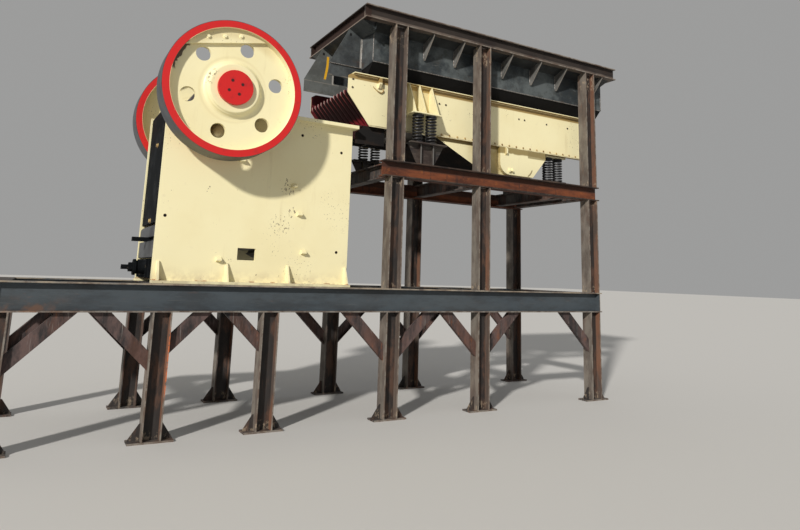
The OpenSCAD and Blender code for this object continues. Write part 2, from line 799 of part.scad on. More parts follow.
// Tension rod with its nut, washer and spring box, seated on the rear wall's lower plate
module tension_rod() {
  spring_l = 110;
  washer_t = 30;
  nut_t = 50;
  rod_l = 1060;
  tail = 80;
  color([0.08, 0.08, 0.08]) on_deck() translate([rear_x - seat_gap, 0, rod_z]) rotate([0, 90, 0]) {
    translate([0, 0, -spring_l - washer_t - nut_t - tail]) cylinder(r = rod_r, h = rod_l + tail);
    translate([0, 0, -spring_l - washer_t - nut_t]) cylinder(r = 55, h = nut_t, $fn = 6);
    translate([0, 0, -spring_l - washer_t]) cylinder(r = 95, h = washer_t);
    translate([0, 0, -spring_l]) cylinder(r = 80, h = spring_l);
  }
}

// Swing jaw

// Barrel on the eccentric, sloped face, ribs behind it and the toggle's seat at the foot
module swing_jaw_body() {
  barrel = [shaft_x, ecc_z];
  crown = jaw_head + [-30, 80];
  rib_y = [-jaw_w / 2 + 30, -jaw_w / 6, jaw_w / 6, jaw_w / 2 - 30];
  groove = jaw_foot + [-458, 180];
  color([0.45, 0.45, 0.42]) on_deck() difference() {
    union() {
      translate([shaft_x, 0, ecc_z]) round_y(barrel_r, jaw_w);
      upright(jaw_w, [barrel + [118, 258], crown, jaw_head, jaw_foot, jaw_foot + [-110, 0],
        jaw_head + [-100, -60], barrel + [258, -142]]);
      for (y = rib_y) translate([0, y, 0])
        upright(60, [barrel + [-222, -162], barrel + [358, 58], crown, jaw_foot + [-30, 40],
          jaw_foot + [-190, 40], jaw_foot + [-270, 130], jaw_foot + [-390, 350]]);
      upright(jaw_w, [jaw_foot + [-430, 110], jaw_foot + [-430, 270], jaw_foot + [-350, 410],
        jaw_foot + [-150, 410], jaw_foot + [-40, 40], jaw_foot + [-270, 40]]);
    }
    translate([shaft_x, 0, ecc_z]) round_y(eccentric_r + run_gap, jaw_w + 2);
    translate([groove[0], 0, groove[1]]) round_y(70, jaw_w + 2);
  }
}

module swing_jaw_plate() {
  color("gray") on_deck() translate([jaw_foot[0], 0, jaw_foot[1]]) rotate([0, -jaw_lean, 0])
    translate([seat_gap, 0, 0]) toothed_plate(jaw_rise - 15, jaw_w, swing_t, swing_tooth_h);
}

// Rotor

module eccentric_shaft() {
  color([0.5, 0.5, 0.52]) on_deck() translate([shaft_x, 0, shaft_z]) {
    round_y(journal_r, 2 * hub_face);
    translate([0, 0, -throw_r]) round_y(eccentric_r, jaw_w + 10);
  }
}

// Flywheel on a Y axis, its outer face toward -Y on the wheels' outer plane
module flywheel() {
  edge_r = 20;
  foot_r = hub_r + hub_fillet + 10;
  translate([shaft_x, 0, shaft_z]) difference() {
    rotate([90, 0, 0]) rotate_extrude($fn = 96) polygon(concat(
      [[journal_r, hub_in], [hub_r, hub_in], [hub_r, web_face - web_plate_t],
      [wheel_in, web_face - web_plate_t], [wheel_in, wheels_w / 2 - rim_w],
      [wheel_r, wheels_w / 2 - rim_w], [wheel_r, wheels_w / 2], [wheel_in, wheels_w / 2],
      [wheel_in, web_face]],
      arc([foot_r, web_face + hub_fillet * 0.7], hub_fillet * 0.7, 270, 190, 4),
      arc([hub_r, hub_face - edge_r], edge_r, 0, 90, 3),
      [[journal_r, hub_face]]));
    for (k = [0 : 5]) rotate([0, -15 - 60 * k, 0])
      translate([web_hole_circle, -web_face + web_plate_t / 2, 0])
        round_y(web_hole_r, web_plate_t + 2);
  }
}

module near_flywheel() {
  color("wheat") on_deck() flywheel();
}

module far_flywheel() {
  color("wheat") on_deck() mirror([0, 1, 0]) flywheel();
}

// Round caps on the shaft's ends
module hub_caps() {
  color("red") on_deck() both_sides(hub_face + hub_cap_t / 2)
    translate([shaft_x, 0, shaft_z]) round_y(hub_cap_r, hub_cap_t);
}

// Segments bolted to the webs, inside the rims
module counterweights() {
  color("wheat") on_deck() both_sides(web_face + weight_t / 2) translate([shaft_x, 0, shaft_z])
    rotate([0, -weight_turn, 0]) intersection() {
      round_y(wheel_in - seat_gap, weight_t, $fn = 180);
      translate([weight_in, -weight_t, -wheel_in]) cube([wheel_in, 2 * weight_t, 2 * wheel_in]);
    }
}

stand_girders();
stand_cross_girders();
stand_bearers();
stand_columns();
stand_feet();
stand_knee_braces();
frame_posts();
frame_mid_beams();
frame_cross_beams();
spring_stools();
rim_side_beams();
rim_end_beams();
hopper_side_walls();
hopper_end_wall();
hopper_brackets();
hopper_snout();
feeder_sides();
feeder_pan();
grizzly_bars();
grizzly_beam();
feeder_underbody();
feeder_exciter();
feeder_guard();
spring_seats();
feeder_springs();
discharge_chute();
crusher_near_side();
crusher_far_side();
crusher_feed_wall();
crusher_rear_wall();
toggle_beam();
toggle_plate();
adjusting_bar();
fixed_jaw();
cheek_plates();
bearing_housings();
tension_rod();
swing_jaw_body();
swing_jaw_plate();
eccentric_shaft();
near_flywheel();
far_flywheel();
hub_caps();
counterweights();
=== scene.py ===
import json
import math
import random

import bpy
from mathutils import Matrix, Vector


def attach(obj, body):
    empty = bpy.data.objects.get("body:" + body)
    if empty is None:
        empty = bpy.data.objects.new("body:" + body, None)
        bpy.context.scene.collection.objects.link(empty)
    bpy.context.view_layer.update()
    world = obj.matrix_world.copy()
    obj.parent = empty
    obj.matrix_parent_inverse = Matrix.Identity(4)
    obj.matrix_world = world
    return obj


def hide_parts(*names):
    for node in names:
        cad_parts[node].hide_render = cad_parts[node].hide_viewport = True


# Looks of a jaw crusher plant: weathered paint, mill scale and rust, coil springs, bolts and welds.
# Lengths are metres. Places are given from the crusher's rear edge (x), the plant's middle (y)
# and the top of the deck girders (z), and at() turns them into the plant's own frame.

random.seed(7)
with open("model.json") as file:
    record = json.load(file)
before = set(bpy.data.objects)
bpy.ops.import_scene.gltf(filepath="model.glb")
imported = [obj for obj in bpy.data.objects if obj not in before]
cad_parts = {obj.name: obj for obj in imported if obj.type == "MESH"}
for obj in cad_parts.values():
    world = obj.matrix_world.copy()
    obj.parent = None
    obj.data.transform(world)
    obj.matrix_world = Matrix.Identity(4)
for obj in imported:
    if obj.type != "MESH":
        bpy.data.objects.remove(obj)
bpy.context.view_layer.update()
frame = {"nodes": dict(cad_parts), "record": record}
nodes = frame["nodes"]

mid_x = 2.7855  # plant's middle, from the crusher's rear edge
deck_z = 1.62  # deck over the ground

# Crusher: side plates with their foot, lip and gussets, shaft, flywheels, weights, caps and bearings
side_face = 0.635  # outer face of the side plates, from the middle
side_end = 2.42
side_h = 2.15
foot_seam_z = 0.031
lip_left = 1.31
lip_z = 2.104
gusset_x = (0.06, 0.84, 1.60, 2.39)
gusset_half = 0.011
gusset_low = 0.04
gusset_high = 0.245
shaft_x = 0.642
shaft_z = 2.258
wheel_r = 0.818
rim_inner_r = 0.730
weight_face = 1.10
weight_r = 0.634  # middle of the counterweights
weight_turn = math.radians(102)
weight_bolt_t = (-0.216, -0.022, 0.172)  # along the counterweight, from its middle
cap_face = 1.185
cap_bolt_r = 0.088
housing_face = 0.71
housing_bolt_r = 0.22
rear_bolt_z = (1.67, 0.73)
pin_holes = [(0.088, side_h - 1.385), (side_end - 0.153, side_h - 0.381), (side_end - 0.160, 0.440),
             (side_end - 0.720, side_h - 0.218)]

# Feeder: side plates with their flanges and bolts, exciter's guard, springs
feeder_left = 2.30
feeder_right = 6.69
feeder_face = 0.675
feeder_z = 2.19  # lower edge of the side plates
feeder_top = 2.91
flange_bolt_left = 3.85
flange_bolt_pitch = 0.143
flange_bolt_count = 20
seat_bolt_x = (3.802, 3.919, 5.336, 5.453, 5.927, 6.396)
seat_bolt_z = 2.703
end_bolts = ((2.372, 2.820), (2.368, 2.701))
guard_face = 0.745
front_springs = (3.44, 0.85, 2.004, 0.426)  # x, distance from the middle, foot, height
rear_springs = (6.15, 0.56, 1.780, 0.390)

# Stand and frame: I and H sections
half_w = 1.025  # outermost edges of the flanges
flange_w = 0.18
flange_mid = 0.008  # middle of a flange's thickness, from its outer face
column_h = 0.20
column_web = half_w - 0.083  # outer face of the columns' webs
girder_low = -0.30
foot_top = -1.60
columns = [-1.51, 0.0, 1.2, 2.831, 4.294, 6.484]
posts = columns[3:]
mid_z = 1.47  # mid beams, lower and upper face
mid_top = 1.69

# Hopper: rim, snout, skirt, end wall and brackets
rim_z = 3.618  # underside of the rim beams
rim_left = 2.364
rim_in = 0.905
snout_right = 2.575
snout_y = 0.485
snout_seam_top = 3.50
fold_left = 2.10  # seam along the fold of the snout's plates
fold_right = 2.57
fold_z = 3.060
skirt_y = 0.725
skirt_bottom = 3.12
skirt_top = 3.55
skirt_left = 2.64
end_wall_x = 7.145
bracket_x = (3.48, 4.02, 4.94, 5.53, 6.08, 6.90)
bracket_half = 0.009
bracket_low = 3.30

# Colours of paint, dirt, rust and steel
cream = (0.845, 0.775, 0.485)
cream_dull = (0.78, 0.69, 0.40)
ochre = (0.42, 0.29, 0.11)
dust = (0.38, 0.31, 0.22)
speck_brown = (0.12, 0.08, 0.045)
scuff_brown = (0.13, 0.09, 0.055)
# Dark brown of the painted shade round the shaft
shaft_shade_brown = (0.12, 0.070, 0.014)
rust_dark = (0.06, 0.022, 0.012)
rust_red = (0.105, 0.042, 0.024)
rust_orange = (0.30, 0.095, 0.022)
# Near black of the painted shade inside and under things
painted_shade_black = (0.012, 0.011, 0.011)
scale_dark = (0.018, 0.017, 0.018)
# Pale and brown of the flange edges, rubbed and painted as lit
worn_lit_pale = (0.23, 0.205, 0.175)
worn_lit_brown = (0.12, 0.085, 0.065)
bare_steel = (0.30, 0.285, 0.26)
red = (0.58, 0.012, 0.012)


def at(x, y, z):
    """A place of the plant in the shared frame, which starts on the ground under its middle."""
    return Vector((x - mid_x, y, z + deck_z))


class Paint:
    """One material, built from small pieces of maths on the place of the point it colours."""

    def __init__(self, name, rough=0.55, metal=0.0, gloss=0.5):
        self.mat = bpy.data.materials.new(name)
        self.mat.use_nodes = True
        self.tree = self.mat.node_tree
        self.shader = self.tree.nodes["Principled BSDF"]
        self.shader.inputs["Roughness"].default_value = rough
        self.shader.inputs["Metallic"].default_value = metal
        self.shader.inputs["Specular IOR Level"].default_value = gloss
        self.place = self.tree.nodes.new("ShaderNodeTexCoord").outputs["Object"]
        split = self.tree.nodes.new("ShaderNodeSeparateXYZ")
        self.tree.links.new(self.place, split.inputs[0])
        self.x = self.maths("ADD", split.outputs[0], mid_x)
        self.y = split.outputs[1]
        self.z = self.maths("SUBTRACT", split.outputs[2], deck_z)
        self.side = self.maths("ABSOLUTE", self.y)

    def put(self, socket, value):
        if isinstance(value, bpy.types.NodeSocket):
            self.tree.links.new(value, socket)
        elif isinstance(value, tuple) and len(socket.default_value) == 4:
            socket.default_value = (*value, 1.0)
        else:
            socket.default_value = value

    def maths(self, operation, a, b=0.0):
        node = self.tree.nodes.new("ShaderNodeMath")
        node.operation = operation
        self.put(node.inputs[0], a)
        self.put(node.inputs[1], b)
        return node.outputs[0]

    def times(self, *values):
        out = values[0]
        for value in values[1:]:
            out = self.maths("MULTIPLY", out, value)
        return out

    def step(self, value, low, high):
        """Goes smoothly from 0 at the low value to 1 at the high one."""
        node = self.tree.nodes.new("ShaderNodeMapRange")
        node.interpolation_type = "SMOOTHSTEP"
        self.put(node.inputs["Value"], value)
        self.put(node.inputs["From Min"], low)
        self.put(node.inputs["From Max"], high)
        return node.outputs["Result"]

    def band(self, value, low, high, soft=0.004):
        """1 between two values, with soft ends."""
        rise = self.step(value, low - soft, low + soft)
        fall = self.step(value, high + soft, high - soft)
        return self.times(rise, fall)

    def facing(self, axis):
        """How squarely the surface looks along an axis, either way."""
        normal = self.tree.nodes.new("ShaderNodeNewGeometry").outputs["True Normal"]
        split = self.tree.nodes.new("ShaderNodeSeparateXYZ")
        self.tree.links.new(normal, split.inputs[0])
        return self.maths("ABSOLUTE", split.outputs[axis])

    def away(self, x, z):
        """Distance from a line that runs across the plant."""
        dx = self.maths("SUBTRACT", self.x, x)
        dz = self.maths("SUBTRACT", self.z, z)
        return self.maths("SQRT", self.maths("ADD", self.times(dx, dx), self.times(dz, dz)))

    def noise(self, scale, detail=4.0, rough=0.55, stretch=(1.0, 1.0, 1.0), shift=0.0):
        scaled = self.tree.nodes.new("ShaderNodeVectorMath")
        scaled.operation = "MULTIPLY_ADD"
        self.put(scaled.inputs[0], self.place)
        scaled.inputs[1].default_value = stretch
        scaled.inputs[2].default_value = (shift, shift * 0.7, shift * 1.3)
        node = self.tree.nodes.new("ShaderNodeTexNoise")
        self.put(node.inputs["Vector"], scaled.outputs[0])
        node.inputs["Scale"].default_value = scale
        node.inputs["Detail"].default_value = detail
        node.inputs["Roughness"].default_value = rough
        return node.outputs["Fac"]

    def patches(self, low, high, scale, *rest, **named):
        """Patches where the noise is high; a narrow range from low to high makes them crisp."""
        return self.step(self.noise(scale, *rest, **named), low, high)

    def ragged(self, value, reach, scale, detail=4.0):
        """A length made uneven by up to half of the reach."""
        return self.maths("ADD", value, self.times(
            self.maths("SUBTRACT", self.noise(scale, detail), 0.5), reach))

    def mix(self, factor, a, b):
        node = self.tree.nodes.new("ShaderNodeMix")
        node.data_type = "RGBA"
        self.put(node.inputs[0], factor)
        self.put(node.inputs[6], a)
        self.put(node.inputs[7], b)
        return node.outputs[2]

    def over(self, colour, coat, *masks):
        """The colour with a coat laid over it, as strongly as all the masks together say."""
        return self.mix(self.times(*masks), colour, coat)

    def rough_from(self, value, low, high, matte=None):
        """Roughness between two levels, and quite matte where the mask says so."""
        node = self.tree.nodes.new("ShaderNodeMapRange")
        self.put(node.inputs["Value"], value)
        node.inputs["To Min"].default_value = low
        node.inputs["To Max"].default_value = high
        out = node.outputs["Result"]
        if matte:
            out = self.maths("MAXIMUM", out, self.times(matte, 0.95))
        self.put(self.shader.inputs["Roughness"], out)

    def bump(self, value, distance, strength):
        node = self.tree.nodes.new("ShaderNodeBump")
        node.inputs["Strength"].default_value = strength
        node.inputs["Distance"].default_value = distance
        self.put(node.inputs["Height"], value)
        self.put(self.shader.inputs["Normal"], node.outputs["Normal"])

    def done(self, colour):
        self.put(self.shader.inputs["Base Color"], colour)
        return self.mat


# Coats that several materials share

def cream_coat(p, shift=0.0):
    """Cream paint with faded areas, faint running dirt, a few clusters of specks and chips."""
    faded = p.patches(0.42, 0.72, 1.3, shift=shift)
    colour = p.over(cream, cream_dull, faded, 0.5)
    runs = p.patches(0.60, 0.82, 3.0, 5.0, 0.6, (3.2, 3.2, 0.35), shift + 4.0)
    colour = p.over(colour, ochre, runs, 0.22)
    grime = p.patches(0.60, 0.78, 9.0, 6.0, 0.65, shift=shift + 9.0)
    colour = p.over(colour, dust, grime, 0.20)
    area = p.patches(0.56, 0.64, 1.6, 3.0, shift=shift + 2.0)
    specks = p.patches(0.64, 0.68, 60.0, 3.0, 0.5, (1.0, 1.0, 0.6), shift)
    colour = p.over(colour, speck_brown, specks, area, 0.75)
    chips = p.patches(0.715, 0.735, 15.0, 6.0, 0.65, shift=shift + 6.0)
    return p.over(colour, rust_dark, chips, 0.8)


def cream_finish(p, matte=None):
    """Satin paint with a slight orange peel."""
    p.rough_from(p.noise(5.0), 0.40, 0.62, matte)
    p.bump(p.noise(30.0, 3.0), 0.0010, 0.3)


def maroon_coat(p):
    """Maroon paint with darker and rusty patches."""
    colour = p.mix(p.patches(0.42, 0.68, 3.0, 5.0), (0.155, 0.014, 0.020), (0.070, 0.009, 0.012))
    return p.over(colour, rust_dark, p.patches(0.60, 0.72, 12.0, 5.0), 0.5)


def maroon_finish(p, matte=None):
    p.rough_from(p.noise(8.0), 0.45, 0.75, matte)
    p.bump(p.noise(26.0, 4.0), 0.0018, 0.4)


def mill_scale(p, base, rust, amount=0.5, upright=True, scored=0.4):
    """Hot-rolled steel: scale, brown bloom, rust patches and light scratches along the grain."""
    along = (1.0, 1.0, 0.3) if upright else (0.3, 1.0, 1.0)
    thin = (9.0, 9.0, 0.5) if upright else (0.5, 9.0, 9.0)
    colour = p.mix(p.patches(0.38, 0.64, 7.0, 8.0, 0.72, along), base, scale_dark)
    bloom = p.patches(0.46, 0.60, 3.2, 8.0, 0.72, along, 3.0)
    colour = p.over(colour, rust, bloom, amount)
    spots = p.patches(0.58, 0.68, 12.0, 8.0, 0.75, along, 8.0)
    colour = p.over(colour, rust_orange, spots, amount)
    scratches = p.patches(0.62, 0.70, 7.0, 3.0, 0.6, thin, 5.0)
    return p.over(colour, bare_steel, scratches, scored)


def lit_and_worn_edge(p, colour, amount=0.8):
    """Light metal on the flange edges that lie furthest out: partly rubbed, partly a painted highlight
    where these edges catch the light.
    """
    edge = p.step(p.side, half_w - 0.004, half_w - 0.001)
    worn = p.mix(p.patches(0.40, 0.60, 9.0, 8.0, 0.7), worn_lit_pale, worn_lit_brown)
    return p.over(colour, worn, edge, amount)


def plate_coat(p):
    """Hot-rolled plate: grey-green scale in large clouds, with rubbed and rusty places."""
    colour = p.mix(p.patches(0.40, 0.60, 1.8, 8.0, 0.7), (0.028, 0.034, 0.038), (0.093, 0.106, 0.108))
    rubbed = p.patches(0.48, 0.64, 8.0, 8.0, 0.72, shift=5.0)
    colour = p.over(colour, (0.036, 0.037, 0.034), rubbed, 0.55)
    rust = p.patches(0.58, 0.68, 3.4, 8.0, 0.75, (0.6, 1.0, 1.6), 9.0)
    colour = p.over(colour, (0.085, 0.047, 0.027), rust, 0.5)
    scratches = p.patches(0.64, 0.72, 6.0, 3.0, 0.6, (1.0, 2.0, 8.0), 7.0)
    return p.over(colour, (0.20, 0.20, 0.19), scratches, 0.35)


def plate_finish(p, matte=None):
    p.rough_from(p.noise(4.0), 0.38, 0.7, matte)
    p.bump(p.noise(18.0, 5.0), 0.0016, 0.35)


def two_tones(name, light, dark, rough, metal, scale, detail, low=0.40, high=0.60):
    """Small parts: one tone with patches of a darker one."""
    p = Paint(name, rough, metal)
    return p.done(p.mix(p.patches(low, high, scale, detail), light, dark))


# Materials of the crusher

def cream_paint(name, scuffs=()):
    """Crusher's coat, with dust on the feet, painted shade round the shaft and in the pin holes, and
    knocked places.
    """
    p = Paint(name)
    colour = cream_coat(p)
    for x, z, reach in scuffs:
        near_it = p.step(p.away(x, z), reach, reach * 0.3)
        marks = p.noise(34.0, 4.0, 0.65, (1.0, 1.0, 0.7), x * 5.0)
        marks = p.step(p.maths("ADD", marks, p.times(near_it, 0.16)), 0.735, 0.755)
        colour = p.over(colour, scuff_brown, marks, near_it, 0.85)
    # Dark rings round the pin holes: painted shade in the holes.
    for x, z in pin_holes:
        ring = p.step(p.away(x, z), 0.021, 0.018)
        colour = p.over(colour, rust_dark, ring, 0.9)
    # Painted shade round the shaft: dark brown on the side plate behind the wheels, seen through their
    # holes.
    from_shaft = p.maths("ADD", p.away(shaft_x, shaft_z), p.times(p.noise(5.0, 5.0), 0.25))
    colour = p.over(colour, shaft_shade_brown, p.step(from_shaft, 0.72, 0.52), 0.92)
    low = p.times(p.step(p.z, 0.22, 0.0), p.patches(0.42, 0.60, 6.0, 5.0))
    colour = p.over(colour, dust, low, 0.45)
    seam = p.times(p.band(p.z, 0.028, 0.04), p.patches(0.5, 0.6, 8.0, 4.0))
    colour = p.over(colour, rust_orange, seam, 0.8)
    cream_finish(p)
    return p.done(colour)


def wheel_paint(name, shift, patched):
    """Cream web and hub, red rim faces, dark tread that a belt has rubbed."""
    p = Paint(name, 0.45)
    r = p.away(shaft_x, shaft_z)
    turn = p.maths("ARCTAN2", p.maths("SUBTRACT", p.z, shaft_z), p.maths("SUBTRACT", p.x, shaft_x))
    colour = cream_coat(p, shift)
    hub_foot = p.band(r, 0.385, 0.40, 0.02)
    colour = p.over(colour, ochre, hub_foot, 0.22)
    # Painted shade under the rim, in the upper part of the web and on the counterweights.
    dirt = p.times(p.band(turn, 0.85, 2.35, 0.2), p.step(r, 0.58, 0.66))
    colour = p.over(colour, ochre, dirt, 0.30)
    if patched:
        bared = p.times(p.band(turn, 2.43, 2.94, 0.03), p.step(p.ragged(r, 0.10, 14.0), 0.690, 0.700))
        colour = p.over(colour, (0.045, 0.018, 0.010), bared, 0.9)
        scrape = p.times(p.band(turn, 2.45, 3.10, 0.10), p.band(r, 0.265, 0.34, 0.02),
                         p.patches(0.54, 0.57, 34.0, 4.0, 0.65))
        colour = p.over(colour, (0.10, 0.06, 0.04), scrape, 0.8)
    face = p.over(red, (0.26, 0.02, 0.02), p.patches(0.58, 0.72, 11.0, 5.0), 0.35)
    chips = p.patches(0.68, 0.71, 21.0, 5.0, 0.6, shift=3.0)
    face = p.over(face, (0.28, 0.20, 0.14), chips, 0.6)
    colour = p.mix(p.step(r, rim_inner_r + 0.001, rim_inner_r + 0.004), colour, face)
    rubbed = p.patches(0.40, 0.65, 5.0, 5.0, 0.6, (1.0, 14.0, 1.0))
    tread = p.mix(rubbed, (0.030, 0.036, 0.046), (0.085, 0.088, 0.092))
    tread = p.over(tread, (0.10, 0.075, 0.045), p.patches(0.56, 0.70, 9.0, 5.0, shift=2.0), 0.6)
    low = p.step(p.z, shaft_z - 0.40, shaft_z - 0.70)
    tread = p.over(tread, (0.050, 0.034, 0.012), low, 0.55)
    colour = p.mix(p.step(r, wheel_r - 0.007, wheel_r - 0.004), colour, tread)
    p.rough_from(p.noise(6.0), 0.36, 0.55)
    p.bump(p.noise(24.0, 3.0), 0.0012, 0.3)
    return p.done(colour)


def cap_paint():
    """Red hub cap with four sunken bolts drawn in the paint: dark heads in wells darkened as painted
    shade.
    """
    p = Paint("cap_paint", 0.42)
    colour = p.over(red, (0.26, 0.015, 0.02), p.patches(0.55, 0.72, 9.0, 5.0), 0.4)
    face = p.step(p.side, cap_face - 0.003, cap_face - 0.001)
    for k in range(4):
        a = math.radians(30 + 90 * k)
        r = p.away(shaft_x + cap_bolt_r * math.cos(a), shaft_z + cap_bolt_r * math.sin(a))
        # Painted shade in each bolt's well, and a dark head in it.
        well = p.times(p.step(r, 0.022, 0.019), face)
        colour = p.over(colour, (0.10, 0.006, 0.008), well, 0.85)
        head = p.times(p.step(r, 0.014, 0.012), face)
        colour = p.mix(head, colour, (0.02, 0.012, 0.012))
    p.bump(p.noise(20.0, 3.0), 0.001, 0.3)
    return p.done(colour)


def black_paint():
    """Rear wall: matte black with a few bared spots."""
    p = Paint("black_paint", 0.75, 0.0, 0.06)
    colour = p.mix(p.patches(0.45, 0.72, 4.0, 5.0), (0.005, 0.006, 0.007), (0.016, 0.018, 0.020))
    colour = p.over(colour, (0.20, 0.16, 0.11), p.patches(0.66, 0.74, 13.0, 5.0), 0.5)
    p.bump(p.noise(30.0, 3.0), 0.001, 0.3)
    return p.done(colour)


def machine_grey():
    """Castings inside the crusher: grey primer, rusting."""
    p = Paint("machine_grey", 0.5, 0.0, 0.4)
    colour = p.mix(p.patches(0.42, 0.68, 2.4, 5.0), (0.070, 0.074, 0.078), (0.034, 0.035, 0.037))
    colour = p.over(colour, rust_dark, p.patches(0.60, 0.74, 9.0, 6.0), 0.5)
    p.bump(p.noise(28.0, 4.0), 0.0015, 0.35)
    return p.done(colour)


def jaw_steel():
    """Bare castings and plates round the jaws: bright steel with brown patches."""
    p = Paint("jaw_steel", 0.5, 0.6)
    colour = p.mix(p.patches(0.40, 0.66, 5.0, 5.0), (0.22, 0.21, 0.20), (0.10, 0.070, 0.055))
    p.bump(p.noise(26.0, 5.0), 0.003, 0.4)
    return p.done(colour)


def shaft_steel():
    """Turned shaft, with marks that run round it."""
    p = Paint("shaft_steel", 0.35, 0.9)
    rings = p.patches(0.4, 0.7, 5.0, 4.0, 0.6, (1.0, 12.0, 1.0))
    return p.done(p.mix(rings, (0.46, 0.45, 0.44), (0.22, 0.18, 0.15)))


# Materials of the feeder and its chute

def feeder_side_paint():
    """Feeder's side plates: cream outside, maroon within, painted shadow under the top flange, and painted
    shade on its underside, by the spring seats and inside below the pan.
    """
    p = Paint("feeder_side_paint")
    colour = cream_coat(p, 33.0)
    seam = p.band(p.z, feeder_z + 0.006, feeder_z + 0.020, 0.006)
    colour = p.over(colour, rust_dark, seam, p.patches(0.36, 0.56, 7.0, 5.0), 0.7)
    # Painted shadow of the top flange: a dark ochre band under it.
    top = p.band(p.z, feeder_top - 0.084, feeder_top - 0.014, 0.008)
    colour = p.over(colour, (0.27, 0.155, 0.028), top, 0.88)
    # Painted shade on the flange's underside.
    beneath = p.times(p.step(p.facing(2), 0.5, 0.8), p.step(p.z, feeder_top - 0.004, feeder_top - 0.008))
    colour = p.over(colour, (0.30, 0.17, 0.025), beneath, 0.90)
    # Painted shade on the side plate beside the spring seats.
    by_seats = p.times(p.band(p.x, 3.20, 3.72, 0.05), p.step(p.z, 2.30, 2.55))
    colour = p.over(colour, (0.46, 0.31, 0.08), by_seats, 0.42)
    inside = p.step(p.side, feeder_face - 0.010, feeder_face - 0.0112)
    colour = p.over(colour, (0.10, 0.010, 0.014), inside, p.step(p.x, 2.92, 2.90))
    # Painted shade inside the feeder, below the pan.
    colour = p.over(colour, painted_shade_black, inside, p.step(p.z, 2.31, 2.30))
    cream_finish(p)
    return p.done(colour)


def pan_paint():
    """Feeder's trough: cream sides above a floor that stone has worn bright."""
    p = Paint("pan_paint", 0.5)
    colour = cream_coat(p, 52.0)
    bare = p.mix(p.patches(0.38, 0.64, 3.0, 6.0, 0.65, (0.2, 2.0, 1.0)),
                 (0.20, 0.185, 0.165), (0.085, 0.070, 0.058))
    bare = p.over(bare, (0.17, 0.13, 0.09), p.patches(0.55, 0.70, 8.0, 6.0), 0.6)
    worn = p.step(p.maths("ADD", p.z, p.times(p.noise(7.0, 5.0), 0.10)), 2.46, 2.40)
    p.bump(p.noise(24.0, 5.0, 0.6, (0.3, 1.0, 1.0)), 0.0015, 0.4)
    return p.done(p.mix(worn, colour, bare))


def underbody_paint():
    """Feeder's underbody: cream on its upright sides with grime that is partly painted shade, a painted
    shadow under the flange, and painted shade on the faces below and at its ends.
    """
    p = Paint("underbody_paint", 0.55, 0.0, 0.2)
    colour = cream_coat(p, 41.0)
    # Ochre grime right of x 4.25, partly real grime and partly painted shade.
    grime_and_shade = p.times(p.step(p.x, 4.25, 4.55), p.patches(0.20, 0.55, 3.0, 5.0))
    colour = p.over(colour, (0.40, 0.28, 0.075), grime_and_shade, 0.68)
    # Painted shadow of the feeder's lower flange.
    under_flange = p.band(p.z, feeder_z - 0.045, feeder_z + 0.02, 0.008)
    colour = p.over(colour, (0.22, 0.15, 0.035), under_flange, 0.80)
    # Painted shade on the faces that are not upright sides.
    below = p.step(p.facing(1), 0.7, 0.4)
    dark = p.mix(p.patches(0.42, 0.64, 6.0, 6.0), painted_shade_black, (0.030, 0.021, 0.017))
    colour = p.mix(below, colour, dark)
    cream_finish(p, below)
    return p.done(colour)


def guard_paint():
    """Exciter's guard: cream face, painted shade on its rim, painted shadow under the feeder's flange and
    on the ledge, and painted shade in the lower fold.
    """
    p = Paint("guard_paint", 0.5)
    colour = cream_coat(p, 61.0)
    bend_x = 5.36
    bend_z = 1.945
    # Painted shade on the guard's rim.
    rim = p.step(p.facing(1), 0.7, 0.4)
    colour = p.over(colour, (0.50, 0.37, 0.13), rim, 0.65)
    face = p.step(p.side, guard_face + 0.0025, guard_face + 0.0015)
    # Painted shadow of the feeder's flange across the top of the face, with a ragged lower edge.
    shade_edge_z = p.ragged(p.z, 0.07, 6.0)
    dirt = p.times(p.step(shade_edge_z, feeder_z - 0.100, feeder_z - 0.078), face)
    colour = p.over(colour, (0.19, 0.125, 0.020), dirt, 0.85)
    # Painted shadow on the ledge, right of x 5.45.
    ledge = p.times(p.step(p.x, 5.45, 5.47), p.step(p.z, feeder_z - 0.125, feeder_z - 0.118), face)
    colour = p.over(colour, (0.24, 0.185, 0.075), ledge, 0.80)
    # Painted shade in the lower fold.
    bend = p.band(p.away(bend_x, bend_z), 0.184, 0.206, 0.005)
    fold = p.times(bend, p.step(p.x, 5.44, 5.47), p.step(p.z, 1.90, 1.86))
    colour = p.over(colour, (0.17, 0.12, 0.04), fold, 0.85)
    cream_finish(p)
    return p.done(colour)


def maroon_paint():
    """Grizzly bars: maroon, with painted highlights on the upper edges, lower parts and tips, and painted
    shade in the slots between them.
    """
    p = Paint("maroon_paint", 0.6, 0.0, 0.2)
    colour = maroon_coat(p)
    # Painted highlight on the bars' top and end faces in their upper part.
    edge = p.step(p.facing(1), 0.75, 0.45)
    upper = p.step(p.z, 2.46, 2.62)
    colour = p.over(colour, (0.27, 0.055, 0.048), edge, upper, 0.75)
    # Brighter maroon low on the bars, painted as lit.
    low = p.step(p.z, 2.36, 2.30)
    colour = p.over(colour, (0.27, 0.022, 0.030), low, 0.7)
    # Painted shade in the slots between the bars, left out where they are painted as lit.
    clean = p.maths("ADD", p.times(edge, upper, 0.75), p.times(low, 0.75))
    clean = p.maths("MINIMUM", p.maths("ADD", clean, p.times(edge, 0.09)), 1.0)
    inner = p.step(p.x, feeder_left + 0.012, feeder_left + 0.04)
    colour = p.over(colour, (0.009, 0.004, 0.004), p.maths("SUBTRACT", 1.0, clean), inner, 0.97)
    # Pale painted highlight on the bars' tips.
    tip = p.times(p.step(p.x, feeder_left + 0.035, feeder_left + 0.012), edge)
    colour = p.over(colour, (0.52, 0.36, 0.33), tip, 0.85)
    maroon_finish(p)
    return p.done(colour)


